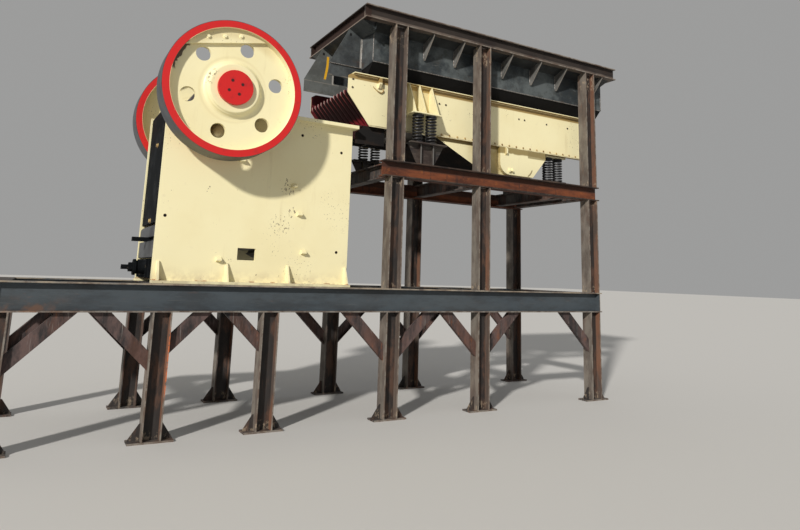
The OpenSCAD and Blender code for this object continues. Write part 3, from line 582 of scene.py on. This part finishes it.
def chute_paint():
    """Discharge chute: maroon slope between side plates that are near black below their top edge, as
    painted shade.
    """
    p = Paint("chute_paint", 0.6, 0.0, 0.2)
    colour = maroon_coat(p)
    # Painted shade: the side plates near black below their top edge.
    outer = p.times(p.step(p.side, 0.586, 0.589), p.step(p.z, 2.215, 2.195))
    dark = p.mix(p.patches(0.45, 0.65, 8.0, 6.0), painted_shade_black, (0.022, 0.015, 0.012))
    colour = p.mix(outer, colour, dark)
    maroon_finish(p, outer)
    return p.done(colour)


def spring_steel():
    """Black spring wire, dusty in places."""
    p = Paint("spring_steel", 0.4)
    dusty = p.patches(0.52, 0.70, 16.0, 4.0)
    return p.done(p.over((0.012, 0.012, 0.014), (0.07, 0.062, 0.052), dusty, 0.6))


# Materials of the stand and frame

def girder_steel():
    """Deck girders: bluish web, flange edges lightened as rubbed metal and painted highlight, dusty top
    and rust at the free end.
    """
    p = Paint("girder_steel", 0.55, 0.0, 0.4)
    colour = mill_scale(p, (0.058, 0.074, 0.088), (0.060, 0.052, 0.046), 0.18, False, 0.15)
    web = p.mix(p.patches(0.35, 0.65, 2.0, 6.0, 0.6, (0.3, 1.0, 1.0), 15.0),
                (0.042, 0.055, 0.066), (0.058, 0.069, 0.076))
    colour = p.mix(p.band(p.z, girder_low + 0.02, -0.03, 0.01), colour, p.mix(0.6, colour, web))
    colour = lit_and_worn_edge(p, colour)
    free_end = p.times(p.step(p.x, -0.55, -1.25), p.step(p.z, -0.12, -0.27))
    colour = p.over(colour, (0.20, 0.085, 0.035), free_end, p.patches(0.42, 0.60, 6.0, 6.0), 0.55)
    top = p.step(p.z, -0.018, -0.004)
    colour = p.over(colour, dust, top, p.patches(0.38, 0.62, 4.0, 5.0), 0.7)
    p.rough_from(p.noise(7.0), 0.42, 0.75)
    p.bump(p.noise(22.0, 5.0), 0.0016, 0.4)
    return p.done(colour)


def rusty_steel():
    """Columns and posts: web darkened as painted shade between the flanges, rusty inner flange, chipped
    ends and a stroke of primer.
    """
    p = Paint("rusty_steel", 0.65, 0.0, 0.35)
    colour = mill_scale(p, (0.105, 0.092, 0.084), rust_red, 0.55)
    # Painted shade on the web, in the recess between the flanges.
    web = p.band(p.side, half_w - 0.098, half_w - 0.082, 0.002)
    dark = p.mix(p.patches(0.48, 0.62, 6.0, 7.0, 0.7, (1.0, 1.0, 0.3), 6.0),
                 (0.022, 0.019, 0.018), (0.085, 0.045, 0.030))
    colour = p.over(colour, dark, web, 0.9)
    grey = p.mix(p.patches(0.38, 0.62, 7.0, 8.0, 0.7, (1.0, 1.0, 0.4), 17.0),
                 (0.21, 0.185, 0.155), (0.105, 0.085, 0.070))
    flush = p.patches(0.44, 0.60, 4.0, 7.0, 0.7, (1.0, 1.0, 0.25), 11.0)
    for x in columns:
        outer = p.band(p.x, x - 0.002, x + 0.002, 0.001)
        colour = p.over(colour, grey, outer, 0.7)
        inner = p.band(p.x, x + column_h - 0.018, x + column_h - 0.013, 0.001)
        bloom = (0.135, 0.105, 0.085) if x == posts[0] else (0.185, 0.088, 0.052)
        colour = p.over(colour, p.mix(flush, (0.085, 0.062, 0.050), bloom), inner, 0.85)
    colour = lit_and_worn_edge(p, colour)
    chips = p.patches(0.53, 0.60, 16.0, 8.0, 0.75, (1.0, 1.0, 0.6), 2.0)
    ends = ((0.0, 0.10), (mid_z - 0.13, mid_z), (mid_top, mid_top + 0.09), (foot_top, foot_top + 0.10),
            (rim_z - 0.28, rim_z))
    for low, high in ends:
        colour = p.over(colour, (0.36, 0.28, 0.20), p.band(p.z, low, high, 0.03), chips, 0.65)
    primer = p.times(p.band(p.x, 0.186, 0.204, 0.004), p.step(p.y, -0.84, -0.86),
                     p.band(p.z, -1.15, -0.50, 0.10), p.patches(0.42, 0.52, 14.0, 4.0))
    colour = p.over(colour, (0.50, 0.13, 0.04), primer, 0.9)
    p.rough_from(p.noise(7.0), 0.50, 0.85)
    p.bump(p.noise(24.0, 5.0), 0.002, 0.45)
    return p.done(colour)


def brace_steel():
    """Knee braces: mauve-brown primer with rust."""
    p = Paint("brace_steel", 0.7, 0.0, 0.35)
    colour = mill_scale(p, (0.105, 0.068, 0.062), rust_red, 0.45)
    p.bump(p.noise(24.0, 5.0), 0.002, 0.45)
    return p.done(colour)


def red_rust_steel():
    """Mid beams: rust red web, dark flanges, a splice seam between the first two posts."""
    p = Paint("red_rust_steel", 0.75, 0.0, 0.3)
    flow = p.patches(0.40, 0.62, 4.5, 8.0, 0.72, (0.3, 1.0, 1.0))
    web = p.mix(flow, (0.185, 0.055, 0.022), (0.072, 0.024, 0.014))
    web = p.over(web, rust_orange, p.patches(0.55, 0.68, 11.0, 8.0, 0.75, shift=4.0), 0.6)
    runs = p.patches(0.58, 0.70, 5.0, 4.0, 0.6, (4.0, 1.0, 0.4), 2.0)
    web = p.over(web, scale_dark, runs, 0.6)
    seam = p.times(p.band(p.x, 3.495, 3.515, 0.006), p.patches(0.35, 0.50, 12.0, 4.0))
    web = p.over(web, scale_dark, seam, 0.7)
    # Painted shade on the web under the top flange, and darker along the bottom.
    upper = p.step(p.z, mid_z + 0.115, mid_z + 0.145)
    lower = p.times(p.step(p.z, mid_z + 0.040, mid_z + 0.020), 0.6)
    web = p.over(web, (0.030, 0.016, 0.012), p.maths("ADD", upper, lower), 0.75)
    flange = p.step(p.side, half_w - 0.084, half_w - 0.080)
    steel = p.mix(p.patches(0.40, 0.62, 8.0, 8.0, 0.7), (0.070, 0.046, 0.034), (0.020, 0.015, 0.014))
    p.rough_from(p.noise(7.0), 0.55, 0.9)
    p.bump(p.noise(24.0, 5.0), 0.002, 0.45)
    return p.done(p.mix(flange, web, steel))


def dark_steel():
    """Spring stools, cross girders and the exciter: dark scale, lighter outer edges."""
    p = Paint("dark_steel", 0.6, 0.0, 0.35)
    colour = mill_scale(p, (0.082, 0.074, 0.064), (0.062, 0.034, 0.024), 0.4, False)
    edge = p.band(p.side, 0.940, 0.948, 0.002)
    colour = p.over(colour, (0.17, 0.165, 0.155), edge, 0.7)
    p.rough_from(p.noise(7.0), 0.45, 0.8)
    p.bump(p.noise(24.0, 5.0), 0.002, 0.4)
    return p.done(colour)


# Materials of the hopper

def rim_steel():
    """Rim beams: dark brown web, painted shade under the top flange and on the end beam's web, a painted
    highlight low on the end face, and flange edges lightened as rubbed metal and painted highlight.
    """
    p = Paint("rim_steel", 0.62, 0.0, 0.25)
    colour = mill_scale(p, (0.082, 0.066, 0.058), (0.085, 0.046, 0.032), 0.45, False)
    pale = p.patches(0.36, 0.60, 6.0, 6.0, 0.65, (0.3, 1.0, 1.0), 13.0)
    colour = p.over(colour, (0.185, 0.150, 0.122), pale, 0.6)
    # Painted shade on the web under the top flange.
    web = p.step(p.side, half_w - 0.03, half_w - 0.04)
    under = p.times(p.step(p.z, rim_z + 0.055, rim_z + 0.075), web)
    colour = p.over(colour, (0.016, 0.012, 0.011), under, 0.85)
    # Painted shade on the end beam's web.
    end = p.band(p.x, rim_left + 0.012, rim_left + 0.10, 0.004)
    colour = p.over(colour, (0.030, 0.015, 0.011), end, 0.85)
    colour = lit_and_worn_edge(p, colour, 0.85)
    # Painted highlight on the lower part of the end face.
    lip = p.times(p.step(p.x, rim_left + 0.004, rim_left + 0.001), p.step(p.z, rim_z + 0.10, rim_z + 0.09))
    colour = p.over(colour, (0.21, 0.165, 0.135), lip, 0.8)
    p.bump(p.noise(24.0, 5.0), 0.002, 0.4)
    return p.done(colour)


def hopper_plate():
    """Hopper's walls: painted shade on the lining and the flare, and a painted highlight along the bend
    where the skirt turns in.
    """
    p = Paint("hopper_plate", 0.5, 0.0, 0.2)
    colour = plate_coat(p)
    # Painted shade: the lining under the skirt near black.
    lining = p.step(p.z, skirt_bottom - 0.004, skirt_bottom - 0.012)
    colour = p.over(colour, (0.007, 0.006, 0.006), lining, 0.95)
    # Painted shade on the flare above the skirt.
    flare = p.step(p.z, skirt_top, skirt_top + 0.010)
    colour = p.over(colour, painted_shade_black, flare, 0.68)
    # Painted highlight along the bend at the skirt's lower edge.
    edge = p.times(p.band(p.z, skirt_bottom - 0.003, skirt_bottom + 0.008, 0.003),
                   p.patches(0.38, 0.54, 7.0, 6.0))
    colour = p.over(colour, bare_steel, edge, 0.6)
    plate_finish(p, lining)
    return p.done(colour)


def bracket_steel():
    """Brackets under the rim: lighter scale than the walls that they hold, with a painted highlight on
    their edges.
    """
    p = Paint("bracket_steel", 0.5, 0.0, 0.4)
    colour = p.mix(p.patches(0.38, 0.62, 5.0, 8.0, 0.72), (0.170, 0.165, 0.155), (0.080, 0.078, 0.073))
    # Painted highlight on the brackets' edges.
    colour = p.over(colour, (0.30, 0.27, 0.235), p.step(p.facing(0), 0.5, 0.2), 0.8)
    p.bump(p.noise(22.0, 5.0), 0.0016, 0.35)
    return p.done(colour)


def snout_plate():
    """Snout's plates: burnt lifting holes by the points with their openings painted black as painted
    shade, light strips along the right edge, the fold and the lower band, a stroke of yellow paint.
    """
    p = Paint("snout_plate", 0.5, 0.0, 0.4)
    colour = plate_coat(p)
    near_side = p.step(p.y, 0.0, -0.1)
    colour = p.over(colour, scale_dark, near_side, 0.32)
    far_side = p.step(p.y, 0.40, 0.45)
    colour = p.over(colour, (0.20, 0.20, 0.175), far_side, 0.28)
    strip = p.times(p.band(p.x, 2.548, 2.576, 0.003), p.band(p.z, 3.06, 3.50, 0.01),
                    p.patches(0.36, 0.52, 9.0, 8.0, 0.75, (1.0, 1.0, 0.4)))
    colour = p.over(colour, (0.36, 0.34, 0.31), strip, 0.85)
    fold = p.times(p.band(p.z, 3.054, 3.066, 0.003), p.patches(0.40, 0.52, 7.0, 6.0, shift=3.0))
    colour = p.over(colour, (0.25, 0.23, 0.20), fold, 0.6)
    lower = p.times(p.band(p.z, 2.883, 2.900, 0.004), p.patches(0.40, 0.55, 6.0, 6.0, shift=5.0))
    colour = p.over(colour, (0.22, 0.19, 0.15), lower, 0.55)
    # The lifting hole's opening painted black: painted shade.
    hole = p.times(p.band(p.x, 2.373, 2.408, 0.003), p.band(p.z, 3.512, 3.553, 0.003))
    colour = p.mix(hole, colour, (0.004, 0.004, 0.004))
    stroke_x = 2.427
    stroke_z = 3.128
    height = p.maths("SUBTRACT", p.z, stroke_z)
    bow = p.times(p.maths("SINE", p.times(height, 7.85)), 0.012)
    middle = p.maths("ADD", p.maths("ADD", p.times(height, 0.094), bow), stroke_x)
    off = p.maths("ABSOLUTE", p.maths("SUBTRACT", p.x, middle))
    stroke = p.times(p.step(p.ragged(off, 0.014, 30.0), 0.022, 0.016), p.band(p.z, 3.13, 3.50, 0.012),
                     p.step(p.y, 0.40, 0.41))
    colour = p.over(colour, (0.74, 0.40, 0.012), stroke, 0.95)
    plate_finish(p)
    return p.done(colour)


# The CAD nodes get their looks
looks = {
    "cream_paint": cream_paint("cream_paint"), "red_paint": cap_paint(), "maroon_paint": maroon_paint(),
    "black_paint": black_paint(), "machine_grey": machine_grey(), "girder_steel": girder_steel(),
    "rusty_steel": rusty_steel(), "dark_steel": dark_steel(), "hopper_plate": hopper_plate(),
    "jaw_steel": jaw_steel(), "spring_steel": spring_steel(), "shaft_steel": shaft_steel(),
}
weld_look = two_tones("weld_metal", (0.30, 0.285, 0.27), (0.12, 0.095, 0.08),
                      0.45, 0.3, 40.0, 3.0, 0.42, 0.62)
bolt_look = two_tones("bolt_steel", (0.13, 0.10, 0.07), (0.05, 0.032, 0.022), 0.5, 0.3, 20.0, 3.0)
# A darker, shaded copy of the cream; on the flange bolts and lifting hooks it is painted shade.
ochre_look = two_tones("ochre_paint", (0.50, 0.36, 0.15), (0.24, 0.15, 0.06), 0.6, 0.0, 20.0, 4.0)
wheel_look = wheel_paint("wheel_paint", 12.0, False)
rim_look = rim_steel()
knocks = ((1.554, 1.242, 0.20), (1.484, 0.74, 0.26), (0.577, 1.108, 0.10), (0.854, 0.263, 0.10),
          (1.62, 0.92, 0.14))
own_look = {
    "near_flywheel": wheel_paint("near_wheel_paint", 21.0, True),
    "far_flywheel": wheel_look, "counterweights": wheel_look,
    "crusher_near_side": cream_paint("near_side_paint", knocks),
    "feeder_pan": pan_paint(), "feeder_sides": feeder_side_paint(), "discharge_chute": chute_paint(),
    "feeder_underbody": underbody_paint(), "feeder_guard": guard_paint(),
    "frame_mid_beams": red_rust_steel(), "stand_knee_braces": brace_steel(),
    "rim_side_beams": rim_look, "rim_end_beams": rim_look,
    "hopper_snout": snout_plate(), "hopper_brackets": bracket_steel(),
}
slot_of = {s["node"]: s["material_slot"] for s in frame["record"]["subparts"]}
for name, obj in nodes.items():
    look = own_look.get(name) or looks[slot_of[name]]
    obj.data.materials.clear()
    obj.data.materials.append(look)


# Shapes in mesh code

def add_mesh(name, verts, faces, look, body, smooth=False):
    """Makes one piece, which rides a body and is stored under a material slot."""
    mesh = bpy.data.meshes.new(name)
    mesh.from_pydata(verts, [], faces)
    mesh.update()
    mesh.materials.append(look)
    if smooth:
        mesh.shade_smooth()
    obj = bpy.data.objects.new(name, mesh)
    bpy.context.scene.collection.objects.link(obj)
    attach(obj, body)
    return obj


def axes_of(direction):
    """The direction's unit vector and two more, square to it."""
    direction = Vector(direction).normalized()
    other = Vector((0, 0, 1)) if abs(direction.z) < 0.9 else Vector((1, 0, 0))
    u = direction.cross(other).normalized()
    return direction, u, direction.cross(u)


def lathe(verts, faces, centre, direction, rings, sides, turn=0.0):
    """Adds a closed turned shape: rings are (distance along the direction, radius)."""
    along, u, v = axes_of(direction)
    start = len(verts)
    for d, r in rings:
        for k in range(sides):
            a = turn + 2 * math.pi * k / sides
            verts.append(centre + along * d + u * (r * math.cos(a)) + v * (r * math.sin(a)))
    for i in range(len(rings) - 1):
        for k in range(sides):
            a = start + i * sides + k
            b = start + i * sides + (k + 1) % sides
            faces.append((a, a + sides, b + sides, b))
    faces.append([start + k for k in range(sides)])
    faces.append([start + (len(rings) - 1) * sides + k for k in reversed(range(sides))])


def ring(verts, centre, u, v, r, sides):
    """Adds one ring of a tube's points."""
    for k in range(sides):
        a = 2 * math.pi * k / sides
        verts.append(centre + u * (r * math.cos(a)) + v * (r * math.sin(a)))


def skin(faces, base, sides, spans):
    """Adds the faces of a tube whose rings begin at point number base, and its two ends."""
    for i in range(spans):
        for k in range(sides):
            a = base + i * sides + k
            b = base + i * sides + (k + 1) % sides
            faces.append((a, b, b + sides, a + sides))
    faces.append([base + k for k in reversed(range(sides))])
    faces.append([base + spans * sides + k for k in range(sides)])


def plate(verts, faces, outline, thick):
    """Adds a flat plate: the outline's points, and the same points moved by the thickness."""
    base = len(verts)
    count = len(outline)
    verts += list(outline)
    verts += [point + thick for point in outline]
    faces.append([base + k for k in range(count)])
    faces.append([base + count + k for k in reversed(range(count))])
    for k in range(count):
        n = (k + 1) % count
        faces.append((base + n, base + k, base + count + k, base + count + n))


def bolts(name, places, r, look, body):
    """Hexagon heads on washers, joined into one piece. Each place is (point, direction)."""
    verts, faces = [], []
    for point, direction in places:
        turn = random.uniform(0, 1)
        lathe(verts, faces, point, direction, [(-0.001, r * 1.45), (r * 0.22, r * 1.45)], 16)
        lathe(verts, faces, point, direction,
              [(r * 0.2, r), (r * 0.85, r), (r * 1.0, r * 0.86)], 6, turn)
    return add_mesh(name, verts, faces, look, body)


def welds(name, runs, r, look, body):
    """Beads laid along straight seams, each run being (start, end)."""
    sides = 6
    verts, faces = [], []
    for start, end in runs:
        u, v = axes_of(end - start)[1:]
        spans = max(4, int((end - start).length / 0.03))
        base = len(verts)
        for i in range(spans + 1):
            swell = r * (1 + random.uniform(-0.22, 0.22)) * (0.4 if i in (0, spans) else 1.0)
            ring(verts, start.lerp(end, i / spans), u, v, swell, sides)
        skin(faces, base, sides, spans)
    return add_mesh(name, verts, faces, look, body, True)


def coil_springs():
    """Springs of round wire with closed ends on turned plugs, in place of the ribbed sleeves."""
    spring_r = 0.084
    wire = 0.0145
    turns = 10.0
    spans = int(turns * 22)
    closed = 0.06
    sides = 8
    pair_half = 0.11
    places = []
    for dx in (-pair_half, pair_half):
        for x, y, z, height in (front_springs, rear_springs):
            for side in (-1, 1):
                places.append((x + dx, side * y, z, height))
    up = Vector((0, 0, 1))
    verts, faces = [], []
    for x, y, z, height in places:
        base = len(verts)
        for i in range(spans + 1):
            t = i / spans
            a = 2 * math.pi * turns * t
            rise = min(max((t - closed) / (1 - 2 * closed), 0.0), 1.0)
            level = z + wire + (height - 2 * wire) * rise
            out = Vector((math.cos(a), math.sin(a), 0))
            ring(verts, at(x, y, level) + out * (spring_r - wire), out, up, wire, sides)
        skin(faces, base, sides, spans)
        for end, inwards in ((z, 1), (z + height, -1)):
            plug = [(0, spring_r * 0.72), (0.03, spring_r * 0.62)]
            lathe(verts, faces, at(x, y, end), (0, 0, inwards), plug, 20)
    obj = add_mesh("coil_springs", verts, faces, looks["spring_steel"], "plant", True)
    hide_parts("feeder_springs")


coil_springs()

# Bolts on the weights, bearings and feeder, on the near and the far side
hands = ((-1, Vector((0, -1, 0))), (1, Vector((0, 1, 0))))
weight_bolts = []
housing_bolts = []
feeder_bolts = []
flange_bolts = []
for side, out in hands:
    for t in weight_bolt_t:
        x = shaft_x + weight_r * math.cos(weight_turn) + t * math.sin(weight_turn)
        z = shaft_z + weight_r * math.sin(weight_turn) - t * math.cos(weight_turn)
        weight_bolts.append((at(x, side * weight_face, z), out))
    for k in range(8):
        a = math.radians(22.5 + 45 * k)
        x = shaft_x + housing_bolt_r * math.cos(a)
        z = shaft_z + housing_bolt_r * math.sin(a)
        housing_bolts.append((at(x, side * housing_face, z), out))
    for i in range(flange_bolt_count):
        x = flange_bolt_left + flange_bolt_pitch * i
        flange_bolts.append((at(x, side * feeder_face, feeder_z + 0.05), out))
    for x in seat_bolt_x:
        feeder_bolts.append((at(x, side * feeder_face, seat_bolt_z), out))
    for x, z in end_bolts:
        feeder_bolts.append((at(x, side * feeder_face, z), out))
bolts("weight_bolts", weight_bolts, 0.021, looks["cream_paint"], "rotor")
bolts("housing_bolts", housing_bolts, 0.016, looks["cream_paint"], "plant")
bolts("feeder_bolts", feeder_bolts, 0.011, bolt_look, "plant")
# The flange bolts take the shaded ochre: painted shade under the flange.
bolts("flange_bolts", flange_bolts, 0.011, ochre_look, "plant")


def guard_lug():
    """Small bracket low on the guard: two upright cheeks and a floor between them."""
    lug_x = 5.10
    lug_z = 1.825
    thick = 0.010
    root = 0.003 - guard_face
    nose = -0.036 - guard_face
    verts, faces = [], []
    for dx in (-0.032, 0.028):
        x = lug_x + dx
        cheek = [at(x, root, lug_z + 0.05), at(x, root, lug_z - 0.03),
                 at(x, nose, lug_z - 0.02), at(x, nose, lug_z + 0.02)]
        plate(verts, faces, cheek, Vector((thick, 0, 0)))
    left = lug_x - 0.04
    right = lug_x + 0.05
    level = lug_z - 0.008
    lug_floor = [at(left, nose + 0.001, level), at(left, root - 0.001, level),
                 at(right, root - 0.001, level), at(right, nose + 0.001, level)]
    plate(verts, faces, lug_floor, Vector((0, 0, thick)))
    add_mesh("guard_lug", verts, faces, looks["cream_paint"], "plant")


def lifting_hooks():
    """A bent bar on each side, under the feeder's lifting lug and welded to the side plate."""
    bar = 0.012
    sides = 8
    lug_x = 2.765
    lug_z = 2.755
    path = [(0.078, 0.002), (0.055, -0.016), (0.030, -0.034), (0.006, -0.050), (-0.022, -0.060),
            (-0.052, -0.062), (-0.076, -0.050), (-0.083, -0.028), (-0.072, -0.004)]
    last = len(path) - 1
    verts, faces = [], []
    for side in (-1, 1):
        base = len(verts)
        for i, (dx, dz) in enumerate(path):
            before = path[max(i - 1, 0)]
            after = path[min(i + 1, last)]
            along = Vector((after[0] - before[0], 0, after[1] - before[1])).normalized()
            across = Vector((-along.z, 0, along.x))
            centre = at(lug_x - dx, side * (feeder_face + 0.010), lug_z + dz)
            ring(verts, centre, across, Vector((0, 1, 0)), bar, sides)
        skin(faces, base, sides, last)
    # The hooks take the shaded ochre: painted shade.
    add_mesh("lifting_hooks", verts, faces, ochre_look, "plant", True)


guard_lug()
lifting_hooks()

rear_bolts = [(at(0.02, -0.055, z), Vector((-1, 0, 0))) for z in rear_bolt_z]
bolts("rear_bolts", rear_bolts, 0.022, ochre_look, "plant")


def hole_pins():
    """Black pins that close the side plates' round holes, a little below the face; their black is also
    painted shade for the holes.
    """
    pin_r = 0.0152
    pin_l = 0.012
    verts, faces = [], []
    for side, out in hands:
        for x, z in pin_holes:
            face = at(x, side * (side_face - pin_l), z)
            lathe(verts, faces, face, -out, [(0, pin_r), (pin_l, pin_r)], 20)
    add_mesh("hole_pins", verts, faces, looks["black_paint"], "plant")


def hopper_corners():
    """Plates that close the hopper's left corners. Points are (x, distance from the middle, z)."""
    thin = 0.006
    front_x = 2.563
    flare_in = 0.728
    flare_out = 0.930
    gap_low = skirt_top - 0.038
    shelf_z = skirt_top - 0.024
    # Between the sloped front and the side flare
    upright = [(front_x, flare_out, rim_z - 0.004), (front_x, flare_in, skirt_top + 0.006),
               (front_x, flare_in, gap_low), (front_x, flare_out, gap_low)]
    # Under the rim beam's web, left of the sloped front
    web = [(rim_left + 0.02, rim_in, rim_z - 0.002), (front_x + thin, rim_in, rim_z - 0.002),
           (front_x + thin, rim_in, skirt_top - 0.030), (rim_left + 0.03, rim_in, rim_z - 0.012)]
    # Over the cut corner of the skirt
    shelf = [(front_x + 0.001, 0.478, shelf_z), (front_x + 0.001, 0.925, shelf_z),
             (2.652, 0.735, skirt_top - 0.020), (2.652, 0.715, skirt_top - 0.020)]
    # Between that corner and the lining
    lining = [(skirt_left, skirt_y - 0.012, skirt_bottom), (2.579, snout_y, 3.032),
              (skirt_left + 0.004, 0.566, 2.962)]
    # The snout's plate folded under the cut corner
    fold_y = snout_y + 0.007
    fold = [(skirt_left, skirt_y, skirt_bottom + 0.002), (snout_right, fold_y, skirt_bottom + 0.002),
            (snout_right, fold_y, 3.026)]
    closing = ((upright, (thin, 0, 0)), (web, (0, 0.005, 0)), (shelf, (0, 0, thin)),
               (lining, (thin, 0, 0)))
    folded = ((fold, (thin, 0, 0)),)
    for name, look, sheets in (("corner_plates", looks["hopper_plate"], closing),
                               ("corner_folds", own_look["hopper_snout"], folded)):
        verts, faces = [], []
        for side in (-1, 1):
            for points, thick in sheets:
                outline = [at(x, side * y, z) for x, y, z in points]
                plate(verts, faces, outline[::side], Vector((thick[0], side * thick[1], thick[2])))
        add_mesh(name, verts, faces, look, "plant")


hole_pins()
hopper_corners()

# Welds. The brackets' beads sit a little off the skirt, the sections' beads start inside the edge
off = 0.002
seam_inset = 0.015  # from the feeder's edges
plate_runs = []
frame_runs = []
cream_runs = []
for side in (-1, 1):
    y = side * skirt_y
    snout_face = side * (snout_y + 0.007)
    plate_runs.append((at(skirt_left, y, skirt_bottom), at(end_wall_x, y, skirt_bottom)))
    plate_runs.append((at(skirt_left, y, skirt_bottom), at(skirt_left, y, skirt_top)))
    plate_runs.append((at(snout_right, snout_face, skirt_bottom),
                       at(snout_right, snout_face, snout_seam_top)))
    plate_runs.append((at(fold_left, snout_face, fold_z), at(fold_right, snout_face, fold_z)))
    plate_runs.append((at(end_wall_x, y, skirt_bottom), at(end_wall_x, y, skirt_top)))
    y = side * (skirt_y + off)
    for x in bracket_x:
        for dx in (-bracket_half, bracket_half):
            plate_runs.append((at(x + dx, y, bracket_low), at(x + dx, y, skirt_top - 0.005)))
    edge_y = side * (half_w - off)
    root_y = side * (half_w - flange_w)
    for x in posts:
        for level in (0.0, mid_z, mid_top, rim_z):
            for fx in (x + flange_mid, x + column_h - flange_mid):
                frame_runs.append((at(fx, edge_y, level), at(fx, root_y, level)))
            frame_runs.append((at(x + 0.02, side * column_web, level),
                               at(x + column_h - 0.02, side * column_web, level)))
    for x in columns:
        for fx in (x + flange_mid, x + column_h - flange_mid):
            for level in (girder_low, foot_top):
                frame_runs.append((at(fx, edge_y, level), at(fx, root_y, level)))
    y = side * side_face
    cream_runs.append((at(0.01, y, foot_seam_z), at(side_end - 0.01, y, foot_seam_z)))
    cream_runs.append((at(lip_left, y, lip_z), at(side_end, y, lip_z)))
    for x in gusset_x:
        for dx in (-gusset_half, gusset_half):
            cream_runs.append((at(x + dx, y, gusset_low), at(x + dx, y, gusset_high)))
    y = side * feeder_face
    upper = feeder_top - seam_inset
    lower = feeder_z + seam_inset
    cream_runs.append((at(feeder_left + 0.08, y, upper), at(feeder_right, y, upper)))
    cream_runs.append((at(3.76, y, lower), at(feeder_right, y, lower)))
welds("hopper_welds", plate_runs, 0.0055, weld_look, "plant")
welds("frame_welds", frame_runs, 0.007, weld_look, "plant")
welds("cream_welds", cream_runs, 0.006, looks["cream_paint"], "plant")

# Camera of the photograph
heading = math.radians(29.624)
pitch = math.radians(10.360)
roll = math.radians(1.819)
eye = at(-1.1696, -8.2143, 0.1542)
right = Vector((math.cos(heading), -math.sin(heading), 0))
ahead = Vector((math.sin(heading) * math.cos(pitch), math.cos(heading) * math.cos(pitch), math.sin(pitch)))
above = right.cross(ahead)
cam_right = right * math.cos(roll) + above * math.sin(roll)
cam_up = above * math.cos(roll) - right * math.sin(roll)
lens = bpy.data.cameras.new("camera")
lens.sensor_width = 36
lens.lens = 28.18
lens.shift_x = 0.0031
lens.shift_y = -0.1286
lens.clip_end = 300
camera = bpy.data.objects.new("camera", lens)
bpy.context.scene.collection.objects.link(camera)
turned = Matrix((cam_right, cam_up, -ahead)).transposed().to_4x4()
camera.matrix_world = Matrix.Translation(eye) @ turned
bpy.context.scene.camera = camera

# Floor
span = 120
floor_mesh = bpy.data.meshes.new("floor")
floor_mesh.from_pydata([(-span, -span, 0), (span, -span, 0), (span, span, 0), (-span, span, 0)],
                       [], [(0, 1, 2, 3)])
floor_mesh.materials.append(Paint("floor_plain", 0.85).done((0.62, 0.61, 0.59)))
floor = bpy.data.objects.new("floor", floor_mesh)
bpy.context.scene.collection.objects.link(floor)

# Sun from the upper left, and the air's even light
sun_data = bpy.data.lights.new("sun", "SUN")
sun_data.energy = 3.75
sun_data.angle = math.radians(3)
sun_data.color = (1.0, 0.965, 0.91)
sun = bpy.data.objects.new("sun", sun_data)
sun.rotation_euler = Vector((0.71, 0.583, -0.42)).to_track_quat("-Z", "Y").to_euler()
bpy.context.scene.collection.objects.link(sun)

world = bpy.data.worlds.new("studio")
bpy.context.scene.world = world
world.use_nodes = True
air = world.node_tree.nodes["Background"]
air.inputs["Color"].default_value = (0.88, 0.88, 0.87, 1.0)
air.inputs["Strength"].default_value = 0.38
bpy.context.scene.view_settings.view_transform = "Standard"
